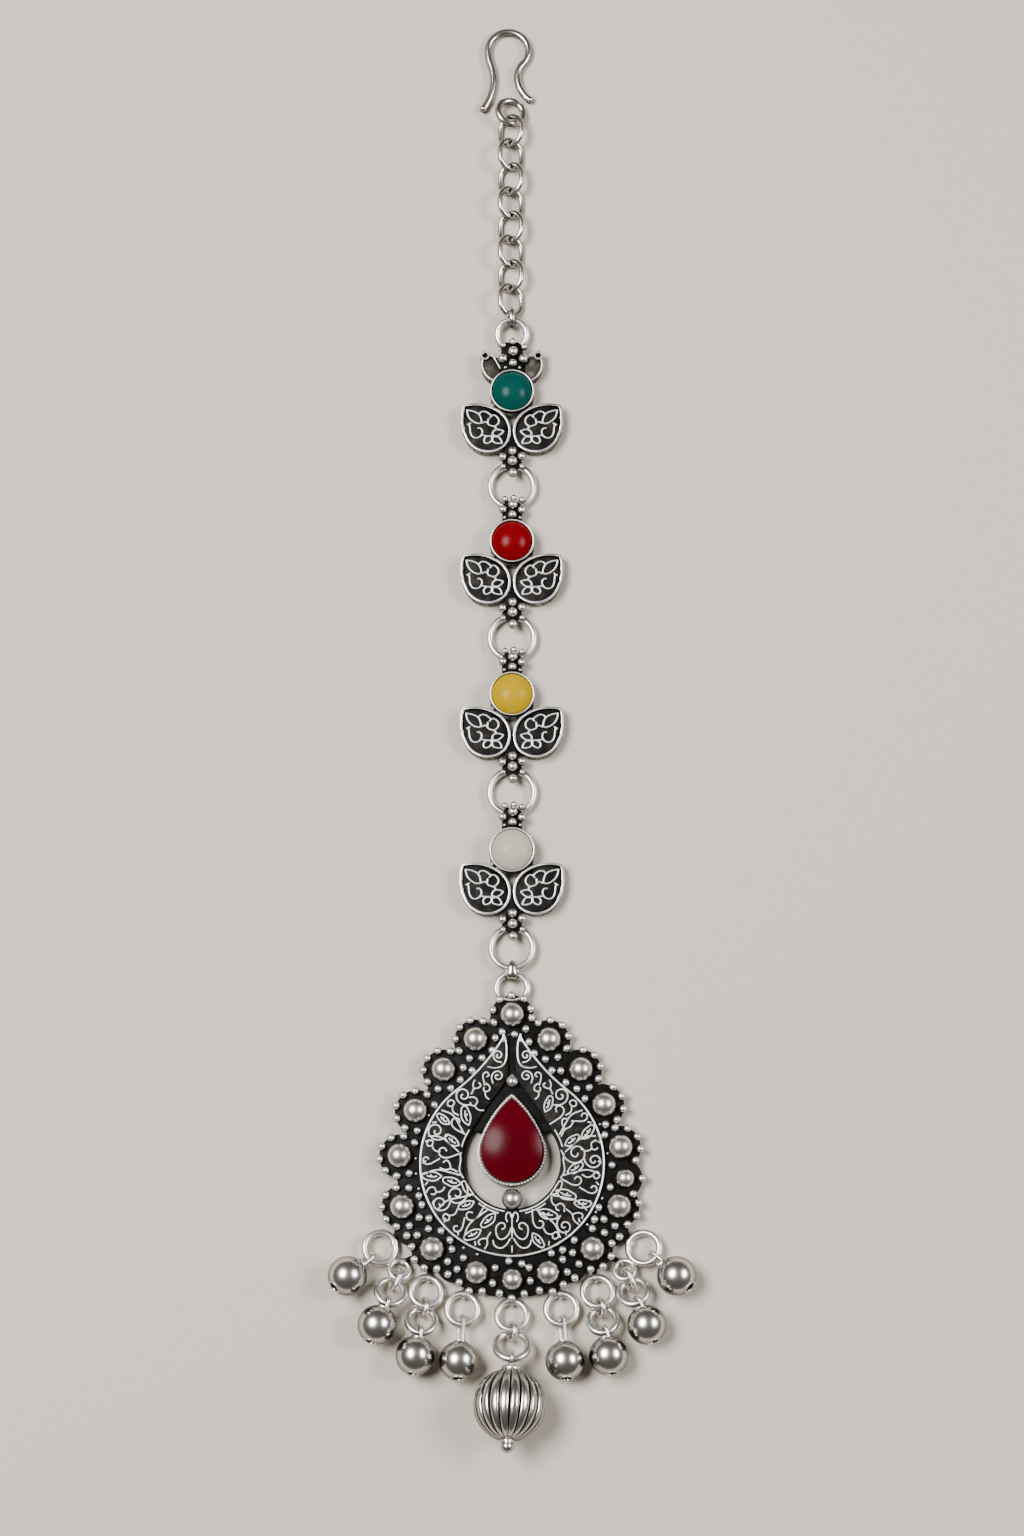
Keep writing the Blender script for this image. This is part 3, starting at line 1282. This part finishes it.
# %% The crown plate's side cups and eyelets
CUP_RIM_WIRE = 0.17
EYELET_PLACES = ((-3.45, 4.80), (3.35, 4.82))
EYELET_RADIUS = 0.60
EYELET_HOLE = 0.31
EYELET_TOP = 1.97
cup_outline = [(-1.7, 2.2), (-1.7, 4.6), (-3.2, 5.0)] + arc3((-3.9, 4.3), (-3.72, 2.7), (-2.35, 1.35))
cup_edge = arc3((-3.78, 4.3), (-3.58, 2.72), (-2.3, 1.5))
cup_line = [(-2.62, 4.95), (-2.40, 4.70), (-1.95, 3.95), (-1.50, 3.10)]


def side_cup(turn_over):
    """A shallow dark cup beside the stone, with a bright wire along its outer edge."""
    edge = [turn_over(cup_edge)]
    return [slab("cup_body", [turn_over(cup_outline)], 0.0, LEAF_FLOOR, cup_floor, 0.04),
            tube("cup_rim", edge, CUP_RIM_WIRE, 1.62, bezel_silver),
            tube("cup_wall", edge, CUP_RIM_WIRE, 1.38, side_silver)]


def eyelet(x, y):
    """A short upright pipe with a dark bore, and the dark tip of the wire behind it."""
    wall = [(EYELET_HOLE, 0.1), (EYELET_RADIUS, 0.1), (EYELET_RADIUS, EYELET_TOP - 0.09),
            (EYELET_RADIUS - 0.06, EYELET_TOP), (EYELET_HOLE + 0.06, EYELET_TOP),
            (EYELET_HOLE, EYELET_TOP - 0.07)]
    pipe = turned("eyelet", wall, rim_silver, 28, closed=True)
    paint(pipe, rim_silver, black_ground)
    paint_faces(pipe, 1, lambda c, n: hypot(c.x, c.y) < EYELET_HOLE + 0.01)
    outwards = 0.12 if x > 0 else -0.12
    return [set_at(pipe, Matrix.Translation((x * MM, y * MM, 0))),
            ball("eyelet_floor", (x, y, 0.6), EYELET_HOLE + 0.02, black_ground, 16, 8),
            ball("dark_tip", (x + outwards, y + 0.62, 1.5), 0.2, black_ground, 12, 8)]


def crown_extras():
    """What only the crown plate has."""
    parts = side_cup(list) + side_cup(flip)
    for x, y in EYELET_PLACES:
        parts += eyelet(x, y)
    parts.append(tube("cup_line", [cup_line], 0.11, 1.72, scroll_silver, 2, smooth_path=True))
    parts.append(slab("cup_back", [box_outline(-1.55, 3.6, 1.75, 4.85)], NECK_LOW, 1.45, black_ground))
    return parts


# %% Making the four plates
STONE_PITCH = 19.82
CROWN_STONE_Y = 41.0
PLATES = 4
stone_ys = [CROWN_STONE_Y - STONE_PITCH * i for i in range(PLATES)]
plain_plate = join("plain_plate", plate_parts(is_crown=False))
for number, y in enumerate(stone_ys[1:], start=2):
    plate = copy_of(plain_plate, (0, y, 0))
    finish_piece(apply_place(plate), f"leaf_plate_{number}")
discard(plain_plate)
crown = join("crown_plate", plate_parts(is_crown=True) + crown_extras())
set_at(crown, Matrix.Translation((0, CROWN_STONE_Y * MM, 0)))
finish_piece(crown, "crown_plate")

# %% [markdown]
# ## Round stones
# Each stone is a low glass cabochon: a short straight wall under a shallow dome. Its profile is spun
# round its axis, and its colour deepens a little from the middle to the rim.

# %% The four cabochons
STONE_WALL = 1.2
STONE_RISE = 1.15
GIRDLE_ROUND = 0.08         # the wall stops short by this, and the dome by the angle, for a soft girdle
GIRDLE_ANGLE = 1.5
dome_round = (STONE_RADIUS ** 2 + STONE_RISE ** 2) / (2 * STONE_RISE)
dome_edge = degrees(asin(STONE_RADIUS / dome_round))
dome_z = STONE_SEAT + STONE_WALL + STONE_RISE - dome_round
cabochon_profile = [(0, STONE_SEAT), (STONE_RADIUS, STONE_SEAT),
                    (STONE_RADIUS, STONE_SEAT + STONE_WALL - GIRDLE_ROUND)]
cabochon_profile += arc_points(dome_round, 90 - dome_edge + GIRDLE_ANGLE, 90, 20, (0, dome_z))

# node, and the glass's colours in the middle and at the rim
stone_colours = [
    ("green_stone", (0.000, 0.112, 0.090, 1), (0.000, 0.060, 0.050, 1)),
    ("red_stone", (0.32, 0.000, 0.008, 1), (0.17, 0.000, 0.004, 1)),
    ("yellow_stone", (0.58, 0.39, 0.000, 1), (0.48, 0.30, 0.000, 1)),
    ("white_stone", (0.64, 0.56, 0.48, 1), (0.50, 0.43, 0.36, 1)),
]
for (node, centre, rim_colour), y in zip(stone_colours, stone_ys):
    glass = stone_glass(node + "_glass", centre, rim_colour, (0, y, STONE_SEAT), STONE_RADIUS)
    stone = turned(node, cabochon_profile, glass, 64)
    smooth(stone, 60)
    set_at(stone, Matrix.Translation((0, y * MM, 0)))
    finish_piece(stone, node)

# %% [markdown]
# ## The pendant
# A scalloped back plate carries everything: seventeen raised domes, each in a circle of granules, the
# engraved horseshoe band with its two horns, the pear setting on its bracket, and the eyes for the
# drops. All its outlines are measured from the centre of the band's round part.

# %% Sizes of the pendant, as on the solid
BAND_Y = -57.12
PLATE_TOP = 1.2
BAND_RADIUS = 11.3
BAND_TOP = 1.75
BAND_START = 128.0
TIP_REACH = 15.9
TIP_HALF_GAP = 0.9
SLOT_HALF = 0.5
OPENING_RADIUS = 6.1
OPENING_RISE = 0.4
OPENING_APEX = 10.9
OPENING_START = 150.0
PEAR_RADIUS = 4.15
PEAR_RISE = 1.32
PEAR_APEX = 8.45
PEAR_START = 20.0
PEAR_TOP = 2.6
PEAR_WALL = 0.42
PEAR_SEAT = 1.1
PEAR_STONE_TOP = 4.3
PEAR_DOME_RADIUS = 9.9
PEAR_DOME_RISE = 2.2
DOME_SEAT = 1.56
DOME_RADIUS = 1.48
GRANULE_RADIUS = 0.48
GRANULE_SEAT = 1.45
GRANULE_CIRCLE = 2.42
GRANULES_ROUND = 10
GRANULE_TURN = 37.0
SCALLOP_MARGIN = 0.33

# place from the band's centre, radius, and the angle of the first granule of its circle
domes = [
    (0.0, 18.17, DOME_RADIUS, 18),
    (-4.5, 15.15, DOME_RADIUS, 31), (4.5, 15.10, DOME_RADIUS, 149),
    (-8.4, 11.42, DOME_RADIUS, 33), (8.4, 11.45, DOME_RADIUS, 147),
    (-11.8, 6.40, DOME_RADIUS, 17), (11.2, 7.15, DOME_RADIUS, 163),
    (-13.7, 0.91, DOME_RADIUS, 4), (13.2, 1.98, DOME_RADIUS, 170),
    (13.7, -1.82, 1.15, 0),
    (-13.35, -5.25, DOME_RADIUS, 33), (12.95, -5.15, DOME_RADIUS, 147),
    (-9.70, -10.30, DOME_RADIUS, 26), (9.70, -10.30, DOME_RADIUS, 154),
    (-4.32, -13.12, 1.40, 14), (4.32, -13.12, 1.40, 166),
    (0.0, -13.96, 1.27, 16),
]


# %% Outlines of the pendant
def tangent_arc(path, heading, end, steps=14):
    """Carry a path on to a place along one arc that starts in its heading."""
    chord = (end[0] - path[-1][0], end[1] - path[-1][1])
    lean = (degrees(atan2(chord[1], chord[0])) - heading + 180) % 360 - 180
    radius = hypot(*chord) / (2 * abs(sin(radians(lean))))
    arc_on(path, heading, radius, 2 * lean, steps)


def drawn_up(radius, rise, start, tip, steps=48):
    """Right half of a circle that is drawn up to a tip: from the bottom round to the tip."""
    path = arc_points(radius, -90, 180 - start, steps, (0, rise))
    tangent_arc(path, 270 - start, tip)
    return path


def whole(half):
    """A closed outline from its right half, which runs from the bottom up."""
    return half + [(-x, y) for x, y in reversed(half) if abs(x) > 0.01]


band_half = drawn_up(BAND_RADIUS, 0, BAND_START, (TIP_HALF_GAP, TIP_REACH))
opening_half = drawn_up(OPENING_RADIUS, OPENING_RISE, OPENING_START, (0.0, OPENING_APEX))
pear_half = drawn_up(PEAR_RADIUS, PEAR_RISE, 180 - PEAR_START, (0.0, PEAR_APEX))
pear_outline = whole(pear_half)
opening_side = [(x, y) for x, y in opening_half if x > SLOT_HALF or y < 0]
slot_bottom = (SLOT_HALF, OPENING_APEX - 0.7)
band_right = band_half + [(SLOT_HALF, TIP_REACH), slot_bottom] + opening_side[::-1]
band_outline = whole(band_right)

# sheet between two domes, for the outer granules: place and radius
webs = [(sign * x, y, radius) for sign in (1, -1) for x, y, radius in (
    (5.9, 12.6, 1.6), (9.2, 8.4, 1.6), (11.5, 3.7, 1.6), (12.6, -2.0, 1.6), (12.3, -8.1, 2.0),
    (7.0, -12.3, 2.3), (2.2, -14.3, 1.9))]

LEDGE = 0.6                 # the least that the plate shows beyond the band
scallops = [(x, y, radius + GRANULE_CIRCLE - DOME_RADIUS + SCALLOP_MARGIN) for x, y, radius, _ in domes]


def plate_reach(angle):
    """How far the scalloped plate reaches from the band's centre in one direction."""
    far = BAND_RADIUS + LEDGE
    dx, dy = cos(radians(angle)), sin(radians(angle))
    for x, y, scallop in scallops + webs:
        ahead = x * dx + y * dy
        aside = abs(x * dy - y * dx)
        if ahead > 0 and aside < scallop:
            far = max(far, ahead + (scallop ** 2 - aside ** 2) ** 0.5)
    return far


PLATE_STEPS = 540
PLATE_SHY = 0.27            # the sheet stops short, so that the granules stand over its edge
plate_outline = []
for k in range(PLATE_STEPS):
    angle = 360 * k / PLATE_STEPS
    reach = plate_reach(angle) - PLATE_SHY
    plate_outline.append((reach * cos(radians(angle)), reach * sin(radians(angle))))

# the hole in the sheet: round below, and a shallow point above, behind the stone
crescent = arc_points(OPENING_RADIUS - 0.2, 142, 398, 56, (0, OPENING_RISE)) + [(0.0, 2.0)]
print("points of the plate's outline:", len(plate_outline))

# %% Places of the granules
HORN_FOOT = 7.0             # above this height the horns narrow, by this slope
HORN_SLOPE = 1.05
OFF_BAND = 0.45             # the least from the band's edge to a granule's middle
FIRST_ROW = 0.75            # the first row of further granules, from the band's edge
ROWS = 34
ROW_STEP = 0.28
ROW_PLACES = 240            # places tried along a row
ROW_TWIST = 7.0             # degrees that the rows turn on for each millimetre outwards


def has_room(x, y, placed, dome_room, granule_room, horn_room):
    """Whether a granule is clear of the domes, of the granules already placed and of the horns."""
    near_dome = any(hypot(x - dx, y - dy) < radius + dome_room for dx, dy, radius, _ in domes)
    near_granule = any(hypot(x - px, y - py) < granule_room for px, py in placed)
    on_horn = HORN_FOOT < y < TIP_REACH + horn_room - HORN_SLOPE * abs(x)
    return not (near_dome or near_granule or on_horn)


def rim_granules():
    """Granules round the domes, each dome's circle in turn, where there is room."""
    placed = []
    for dome_x, dome_y, radius, first in domes:
        circle = GRANULE_CIRCLE - DOME_RADIUS + radius
        for k in range(GRANULES_ROUND):
            angle = radians(first + k * GRANULE_TURN * DOME_RADIUS / max(radius, 1.3))
            x, y = dome_x + circle * cos(angle), dome_y + circle * sin(angle)
            room = has_room(x, y, placed, dome_room=0.72, granule_room=1.0, horn_room=0.0)
            if room and hypot(x, y) >= BAND_RADIUS + OFF_BAND:
                placed.append((x, y))
    return placed


def more_granules(placed):
    """Granules in the room that is left on the sheet, row by row outwards from the band."""
    for row in range(ROWS):
        r = BAND_RADIUS + FIRST_ROW + ROW_STEP * row
        for k in range(ROW_PLACES):
            angle = radians(-90 + 360 / ROW_PLACES * k + r * ROW_TWIST)
            x, y = r * cos(angle), r * sin(angle)
            inside = r < plate_reach(degrees(angle)) - GRANULE_RADIUS - 0.1
            if inside and has_room(x, y, placed, dome_room=0.70, granule_room=1.12, horn_room=0.4):
                placed.append((x, y))
    return placed


# %% Back plate and band
pendant_parts = []
back_plate = slab("back_plate", [plate_outline, crescent], 0.0, PLATE_TOP, black_ground, 0.10, 60)
paint(back_plate, black_ground, side_silver, back_silver)
paint_faces(back_plate, 1, lambda c, n: n.z < 0.4 and hypot(c.x, c.y) > BAND_RADIUS)
paint_faces(back_plate, 2, lambda c, n: n.z < -0.7)
pendant_parts.append(back_plate)
pendant_parts.append(slab("band", [band_outline], PLATE_TOP - 0.1, BAND_TOP, engraved_ground, 0.09, 50))

# %% The band's bright outer wire, from horn to horn, and the horns' inner lines and tips
LINE_Z = BAND_TOP + 0.02
LINE_WIRE = 0.14
HORN_WIRE = 0.115
right_line = inset(whole(band_half), LINE_WIRE)[:len(band_half)]
right_line[-1] = (TIP_HALF_GAP + 0.10, TIP_REACH - 0.12)
edge_line = right_line[::-1][:-1] + flip(right_line)
pendant_parts.append(tube("band_line", [edge_line], LINE_WIRE, LINE_Z, scroll_silver, 2))
horn_line = [(1.00, 15.70), (0.72, 14.60), (0.66, 13.60), (0.74, 12.70), (1.10, 11.95), (2.00, 11.62),
             (3.00, 11.75)]
horn_tip = [(0.97, 15.92), (1.10, 15.55), (1.42, 14.95), (1.15, 14.75), (0.86, 14.95), (0.84, 15.45)]
for tip in (horn_tip, flip(horn_tip)):
    pendant_parts.append(slab("horn_tip", [tip], BAND_TOP - 0.05, BAND_TOP + 0.06, relief_silver, 0.04))
pendant_parts.append(tube("horn_lines", [horn_line, flip(horn_line)], HORN_WIRE, LINE_Z, scroll_silver, 2,
                          smooth_path=True))

# %% [markdown]
# ## Scrollwork on the band
# The band's scrolls are fine raised wires on the black ground: leaves with a vein, curls and commas,
# mirrored from side to side and drawn freely, as a hand with a wire would. A place on the band is an
# angle from the bottom and a share of the way from the inner edge to the outer one, so the motifs
# follow the band as it narrows into the horns.


# %% Places on the band
INNER_MARGIN = 0.35
OUTER_MARGIN = 0.40


def edge_reach(half, angle):
    """Distance from the centre to an outline's right half, at an angle from the bottom."""
    angle = max(angle, 0.1)
    seen = [(degrees(atan2(x, -y)), hypot(x, y)) for x, y in half]
    for (a, r), (b, q) in zip(seen, seen[1:]):
        if a <= angle <= b:
            return r + (q - r) * (angle - a) / max(b - a, 1e-6)
    return seen[-1][1]


def on_band(angle, share):
    """A place on the band, at a share of the way from its inner edge to its outer one."""
    inner = edge_reach(opening_half, angle) + INNER_MARGIN
    outer = edge_reach(band_half, angle) - OUTER_MARGIN
    r = inner + (outer - inner) * share
    return (r * sin(radians(angle)), -r * cos(radians(angle)))


# %% Motifs: each stands on its foot, one unit high, and a row is one bent wire
motifs = {
    "leaf": [[(0, -0.5), (0.24, -0.2), (0.26, 0.12), (0.04, 0.5), (-0.14, 0.2), (-0.16, -0.15), (0, -0.5)],
             [(0.02, -0.26), (0.08, -0.02), (0.03, 0.26)], [(0.08, -0.02), (-0.05, 0.08)]],
    "hook": [[(-0.28, -0.5), (-0.02, -0.24), (0.22, 0.04), (0.27, 0.32), (0.06, 0.5), (-0.14, 0.36),
              (-0.06, 0.16)]],
    "wave": [[(-0.3, -0.5), (-0.02, -0.38), (0.1, -0.1), (-0.1, 0.12), (-0.02, 0.38), (0.3, 0.5)],
             [(0.1, -0.1), (0.3, 0.02), (0.32, 0.2)]],
    "fork": [[(-0.06, -0.5), (0.02, -0.1), (0.22, 0.12), (0.3, 0.44)],
             [(0.02, -0.1), (-0.2, 0.12), (-0.24, 0.36), (-0.04, 0.44)]],
    "eye": [[(-0.08, -0.5), (0.08, -0.24), (0, 0.04), (-0.18, 0.2), (0, 0.38), (0.18, 0.2), (0, 0.04)]],
    "curl": [[(-0.42, -0.5), (0.1, -0.44), (0.42, -0.06), (0.3, 0.36), (-0.1, 0.42), (-0.28, 0.1),
              (-0.06, -0.14), (0.15, 0.02), (0.04, 0.16)]],
}
inner_row = ["hook", "leaf", "wave", "leaf", "hook", "leaf", "curl", "leaf", "fork", "hook", "leaf"]
outer_row = ["leaf", "eye", "curl", "fork", "leaf", "hook", "eye", "curl", "wave", "leaf", "hook", "eye",
             "curl"]


def motif_at(name, spot, turn, size):
    """A motif's wires at a spot; turn is the direction that it stands in, in degrees."""
    c, s = cos(radians(turn)), sin(radians(turn))
    return [[(spot[0] + size * (u * s + v * c), spot[1] + size * (v * s - u * c)) for u, v in path]
            for path in motifs[name]]


def lay_row(names, first, step, share, size, lean):
    """A row of motifs up one side of the band, each a little unlike the one before."""
    lines = []
    for k, name in enumerate(names):
        angle = first + k * step
        reach = size * (1 + 0.12 * sin(2.4 * k))
        lines += motif_at(name, on_band(angle, share), angle - 90 + lean + 14 * sin(1.7 * k), reach)
    return lines


def stroke(*places):
    """A wire through places on the band."""
    return [on_band(a, s) for a, s in places]


# %% The wires of the two sides
BAND_WIRE = 0.10


def side_wires(side):
    """Wires of one side, drawn on the right; the two sides take the motifs in another order."""
    shift = 0 if side > 0 else 3
    inner_names = inner_row[shift:] + inner_row[:shift]
    outer_names = outer_row[shift:] + outer_row[:shift]
    lines = lay_row(inner_names, 23, 12.6, 0.27, 2.35, 26)
    lines += lay_row(outer_names, 19, 10.4, 0.76, 2.15, 22)
    # the scroll beside the stem, and its curl
    lines.append(stroke((0.6, 0.36), (4, 0.58), (9, 0.66), (13, 0.52), (13, 0.32), (8, 0.26), (6.5, 0.36),
                        (9, 0.42)))
    lines.append(stroke((0.6, 0.10), (4, -0.02), (6.5, 0.10), (4.5, 0.22)))
    lines.append(stroke((1.2, 0.62), (4.5, 0.80), (8, 0.88), (12, 0.84), (14, 0.72)))
    # long commas between the motifs
    for a in (27, 52, 77, 102, 121):
        lines.append(stroke((a, 0.02), (a + 5, 0.30), (a + 8, 0.62), (a + 6, 0.96)))
    # the broken double line along the opening
    lines.append(stroke(*[(a, -0.04) for a in range(9, 50, 5)]))
    lines.append(stroke(*[(a, 0.035) for a in range(15, 44, 5)]))
    lines.append(stroke((50, -0.04), (56, 0.06), (63, 0.08), (70, 0.0), (64, -0.05), (56, -0.05),
                        (50, -0.04)))
    lines.append(stroke(*[(a, -0.02 + 0.03 * sin(a / 4.0)) for a in range(73, 104, 4)]))
    lines.append(stroke(*[(a, -0.03) for a in range(108, 133, 5)]))
    # the horn's own curl and fork
    for name, x, y, turn, size in (("curl", 1.70, 13.05, 100, 1.35), ("curl", 1.85, 10.55, 160, 1.45),
                                   ("hook", 3.30, 10.35, 120, 1.50), ("wave", 3.00, 8.75, 110, 1.70),
                                   ("fork", 4.55, 9.20, 125, 1.80)):
        lines += motif_at(name, (x, y), turn, size)
    for a in (24, 37, 49, 63, 76, 90, 104, 117):
        lines.append(stroke((a, 0.99), (a + 1.6, 0.90)))
    return [[(side * x, y) for x, y in line] for line in lines]


scroll_lines = side_wires(1) + side_wires(-1)
scroll_lines += [stroke((0, 0.02), (0, 0.62)), stroke((0, 0.80), (0, 0.97))]
pendant_parts.append(tube("band_scrolls", scroll_lines, BAND_WIRE, LINE_Z, scroll_silver, 1,
                          smooth_path=True))
print("scroll wires:", len(scroll_lines))

# %% [markdown]
# ## Domes, granules and little balls
# A dome is a raised cap with a short straight skirt, turned once for each size and copied. The
# granules are tiny balls, so each has only a few faces. Both are a hair fuller than the solids, as
# solder and polish leave them.


# %% Domes
FULLER = 0.05           # added to the radius of each dome and granule
DOME_FOOT = 1.05


def placed_copies(model, places):
    """Copies of a model at places in plan; the model itself is removed."""
    copies = [copy_of(model, (x, y, 0)) for x, y in places]
    discard(model)
    return copies


for size in sorted({radius for _, _, radius, _ in domes}):
    full = size + FULLER
    profile = [(0, DOME_FOOT), (full, DOME_FOOT)] + arc_points(full, 0, 90, 12, (0, DOME_SEAT))
    dome = smooth(turned("dome", profile, dome_silver, 40), 60)
    pendant_parts += placed_copies(dome, [(x, y) for x, y, radius, _ in domes if radius == size])
print("domes:", len(domes))

# %% Granules
granule = ball("granule", (0, 0, GRANULE_SEAT), GRANULE_RADIUS + FULLER, granule_silver, 12, 6)
granule_places = more_granules(rim_granules())
pendant_parts += placed_copies(granule, granule_places)
print("granules:", len(granule_places))

# %% Tiny granules between the horns and along the band, where there is room
TINY_RADIUS = 0.20
TINY_REACH = BAND_RADIUS + 0.42
TINY_TOP = 8.0          # higher than this the horns take the room
tiny_places = [(0.0, 15.75), (-0.42, 15.72), (0.42, 15.72)]
for angle in range(24, 340, 9):
    x, y = TINY_REACH * sin(radians(angle)), -TINY_REACH * cos(radians(angle))
    off_granules = all(hypot(x - px, y - py) > 0.66 for px, py in granule_places)
    off_domes = all(hypot(x - dx, y - dy) > radius + 0.2 for dx, dy, radius, _ in domes)
    if off_granules and off_domes and y < TINY_TOP:
        tiny_places.append((x, y))
tiny = ball("tiny_granule", (0, 0, PLATE_TOP + 0.1), TINY_RADIUS, granule_silver, 8, 6)
pendant_parts += placed_copies(tiny, tiny_places)
print("tiny granules:", len(tiny_places))

# %% The two balls on the middle line; the upper one is drawn out to a point
LOWER_BALL = (0, -4.35, 1.9)
LOWER_BALL_RADIUS = 1.25
UPPER_BALL = (0, 9.95, 1.7)
UPPER_BALL_RADIUS = 0.75
POINT_DRAWS = ((0.66, 0.14), (0.86, 0.22))      # what lies beyond the first moves on by the second
lower_ball = ball("lower_ball", LOWER_BALL, LOWER_BALL_RADIUS, dome_silver, 40, 24)
upper_ball = ball("upper_ball", (0, 0, 0), UPPER_BALL_RADIUS, dome_silver, 32, 20, (90, 0, 0))
for beyond, draw in POINT_DRAWS:
    select_points(upper_ball, lambda p: p.y > beyond)
    bpy.ops.transform.translate(value=(0, draw * MM, 0))
bpy.ops.object.mode_set(mode="OBJECT")
set_at(upper_ball, Matrix.Translation(Vector(UPPER_BALL) * MM))
bracket = slab("bracket", [box_outline(-0.75, -6.7, 0.75, -3.1)], 0.06, 1.1, black_ground, 0.15)
pendant_parts += [lower_ball, upper_ball, bracket]

# %% [markdown]
# ## The pear setting
# The bezel is a wall that follows the pear, with a beaded upper edge. The pocket is an inner outline,
# and the beads stand at even steps along the wall. The stone is the pear's outline raised to a block
# and cut by a large sphere, which leaves the domed top of a cabochon.

# %% Bezel and its beaded edge
MILGRAIN_RADIUS = 0.20
MILGRAIN_STEP = 0.40
pear_silver = silver("pear_silver", (0.40, 0.37, 0.33, 1), 0.24, 0.36, patina_span=(0.6, 2.3))
pear_wall = [pear_outline, inset(pear_outline, PEAR_WALL)]
bead_line = inset(pear_outline, MILGRAIN_RADIUS)
pendant_parts.append(slab("pear_wall", pear_wall, 0.04, PEAR_TOP - 0.35, pear_silver, 0.10, 60))
pendant_parts.append(slab("pear_floor", [bead_line], 0.4, PEAR_SEAT, black_ground, 0.0))
bead = ball("milgrain", (0, 0, PEAR_TOP - MILGRAIN_RADIUS), MILGRAIN_RADIUS, scroll_silver, 8, 6)
bead_places = spaced(bead_line, MILGRAIN_STEP)
pendant_parts += placed_copies(bead, bead_places)
print("beads on the bezel:", len(bead_places))

# %% The pear stone
STONE_GAP = 0.04
GLASS_MIDDLE = 1.6          # the colour's middle, from the band's centre
GLASS_REACH = 4.0
wine_glass = stone_glass("wine_glass", (0.050, 0.000, 0.003, 1), (0.085, 0.000, 0.005, 1),
                         (0, BAND_Y + GLASS_MIDDLE, PEAR_SEAT), GLASS_REACH)
girdle = inset(pear_outline, PEAR_WALL + STONE_GAP)
pear = slab("pear_stone", [girdle], PEAR_SEAT, PEAR_STONE_TOP, wine_glass, 0.0)
dome_middle = Vector((0, PEAR_DOME_RISE, PEAR_STONE_TOP - PEAR_DOME_RADIUS)) * MM
bpy.ops.object.select_all(action="DESELECT")
bpy.ops.mesh.primitive_uv_sphere_add(segments=160, ring_count=120, radius=PEAR_DOME_RADIUS * MM,
                                     location=dome_middle)
dome_cutter = bpy.context.object
pick(pear)
cut = pear.modifiers.new("dome", "BOOLEAN")
cut.operation = "INTERSECT"
cut.solver = "EXACT"
cut.object = dome_cutter
bpy.ops.object.modifier_apply(modifier=cut.name)
discard(dome_cutter)
soften(pear, 0.22, 30, 4)
smooth(pear, 60)
set_at(pear, Matrix.Translation((0, BAND_Y * MM, 0)))
finish_piece(pear, "pear_stone")

# %% [markdown]
# ## The pendant's eyes
# A loop at the top takes the bail, and nine small tube eyes on short arms take the drops' rings.

# %% The eyes on the edge, seen on the right-hand side: place, heading and their ring's wire
LUG_Z = 0.68
LUG_LENGTH = 0.45
LUG_PLAY = 0.105
LUG_WALL = 0.17
ARM_WIRE = 0.32
ARM_Z = 0.75
OUTER_EYE = along((15.95, -67.29), 160.0, OUTER_RADIUS)     # on the outer ring, away from its ball
lugs = [(OUTER_EYE, 340.0, drop_wire), ((13.2, -68.95), -68.5, small_wire),
        ((10.06, -70.90), -80.6, drop_wire), ((5.85, -72.85), -86.3, drop_wire),
        ((0.0, -73.70), -90.0, drop_wire)]


def lug(x, y, heading, wire):
    """A tube eye and its arm to the nearest dome, from the band's centre."""
    bore = wire + LUG_PLAY
    wall = pipe_wall(bore, bore + LUG_WALL, LUG_LENGTH / 2)
    eye = turned("lug_eye", wall, bright_wire, 24, closed=True)
    turn = Matrix.Rotation(radians(heading + 90), 4, "Z") @ TURN_TO_X
    set_at(eye, Matrix.Translation((x * MM, y * MM, LUG_Z * MM)) @ turn)
    dome_x, dome_y, _, _ = min(domes, key=lambda dome: hypot(dome[0] - x, dome[1] - y))
    start = (bore + 0.1) / hypot(dome_x - x, dome_y - y)
    arm = [(x + (dome_x - x) * start, y + (dome_y - y) * start), (dome_x, dome_y)]
    return [eye, tube("lug_arm", [arm], ARM_WIRE, ARM_Z, black_ground, 2)]


for (x, y), heading, wire in lugs:
    pendant_parts += lug(x, y - BAND_Y, heading, wire)
    if x > 0:
        pendant_parts += lug(-x, y - BAND_Y, 180 - heading, wire)
print("eyes for the drops:", 2 * len(lugs) - 1)

# %% The loop at the top, from the bail's solid
LOOP_RADIUS = 1.93
LOOP_WIRE = 0.43
LOOP_SQUASH = 0.72
low, high = box_mm("bail_link")
loop_y = low.y + bail_wire * 2 + LOOP_WIRE + 0.02 - LOOP_RADIUS - BAND_Y
loop = apply_place(torus("loop", LOOP_RADIUS, LOOP_WIRE, 56, 14, (0, loop_y, (low.z + high.z) / 2)))
# its lower half is pressed up, so that it sits behind the top granules
select_points(loop, lambda p: p.y < loop_y)
bpy.ops.transform.resize(value=(1, LOOP_SQUASH, 1), center_override=(0, loop_y * MM, 0))
bpy.ops.object.mode_set(mode="OBJECT")
paint(loop, bright_wire)
pendant_parts.append(smooth(loop))

# %% Settle the pendant
pendant = join("pendant_frame", pendant_parts)
set_at(pendant, Matrix.Translation((0, BAND_Y * MM, 0)))
finish_piece(pendant, "pendant_frame")
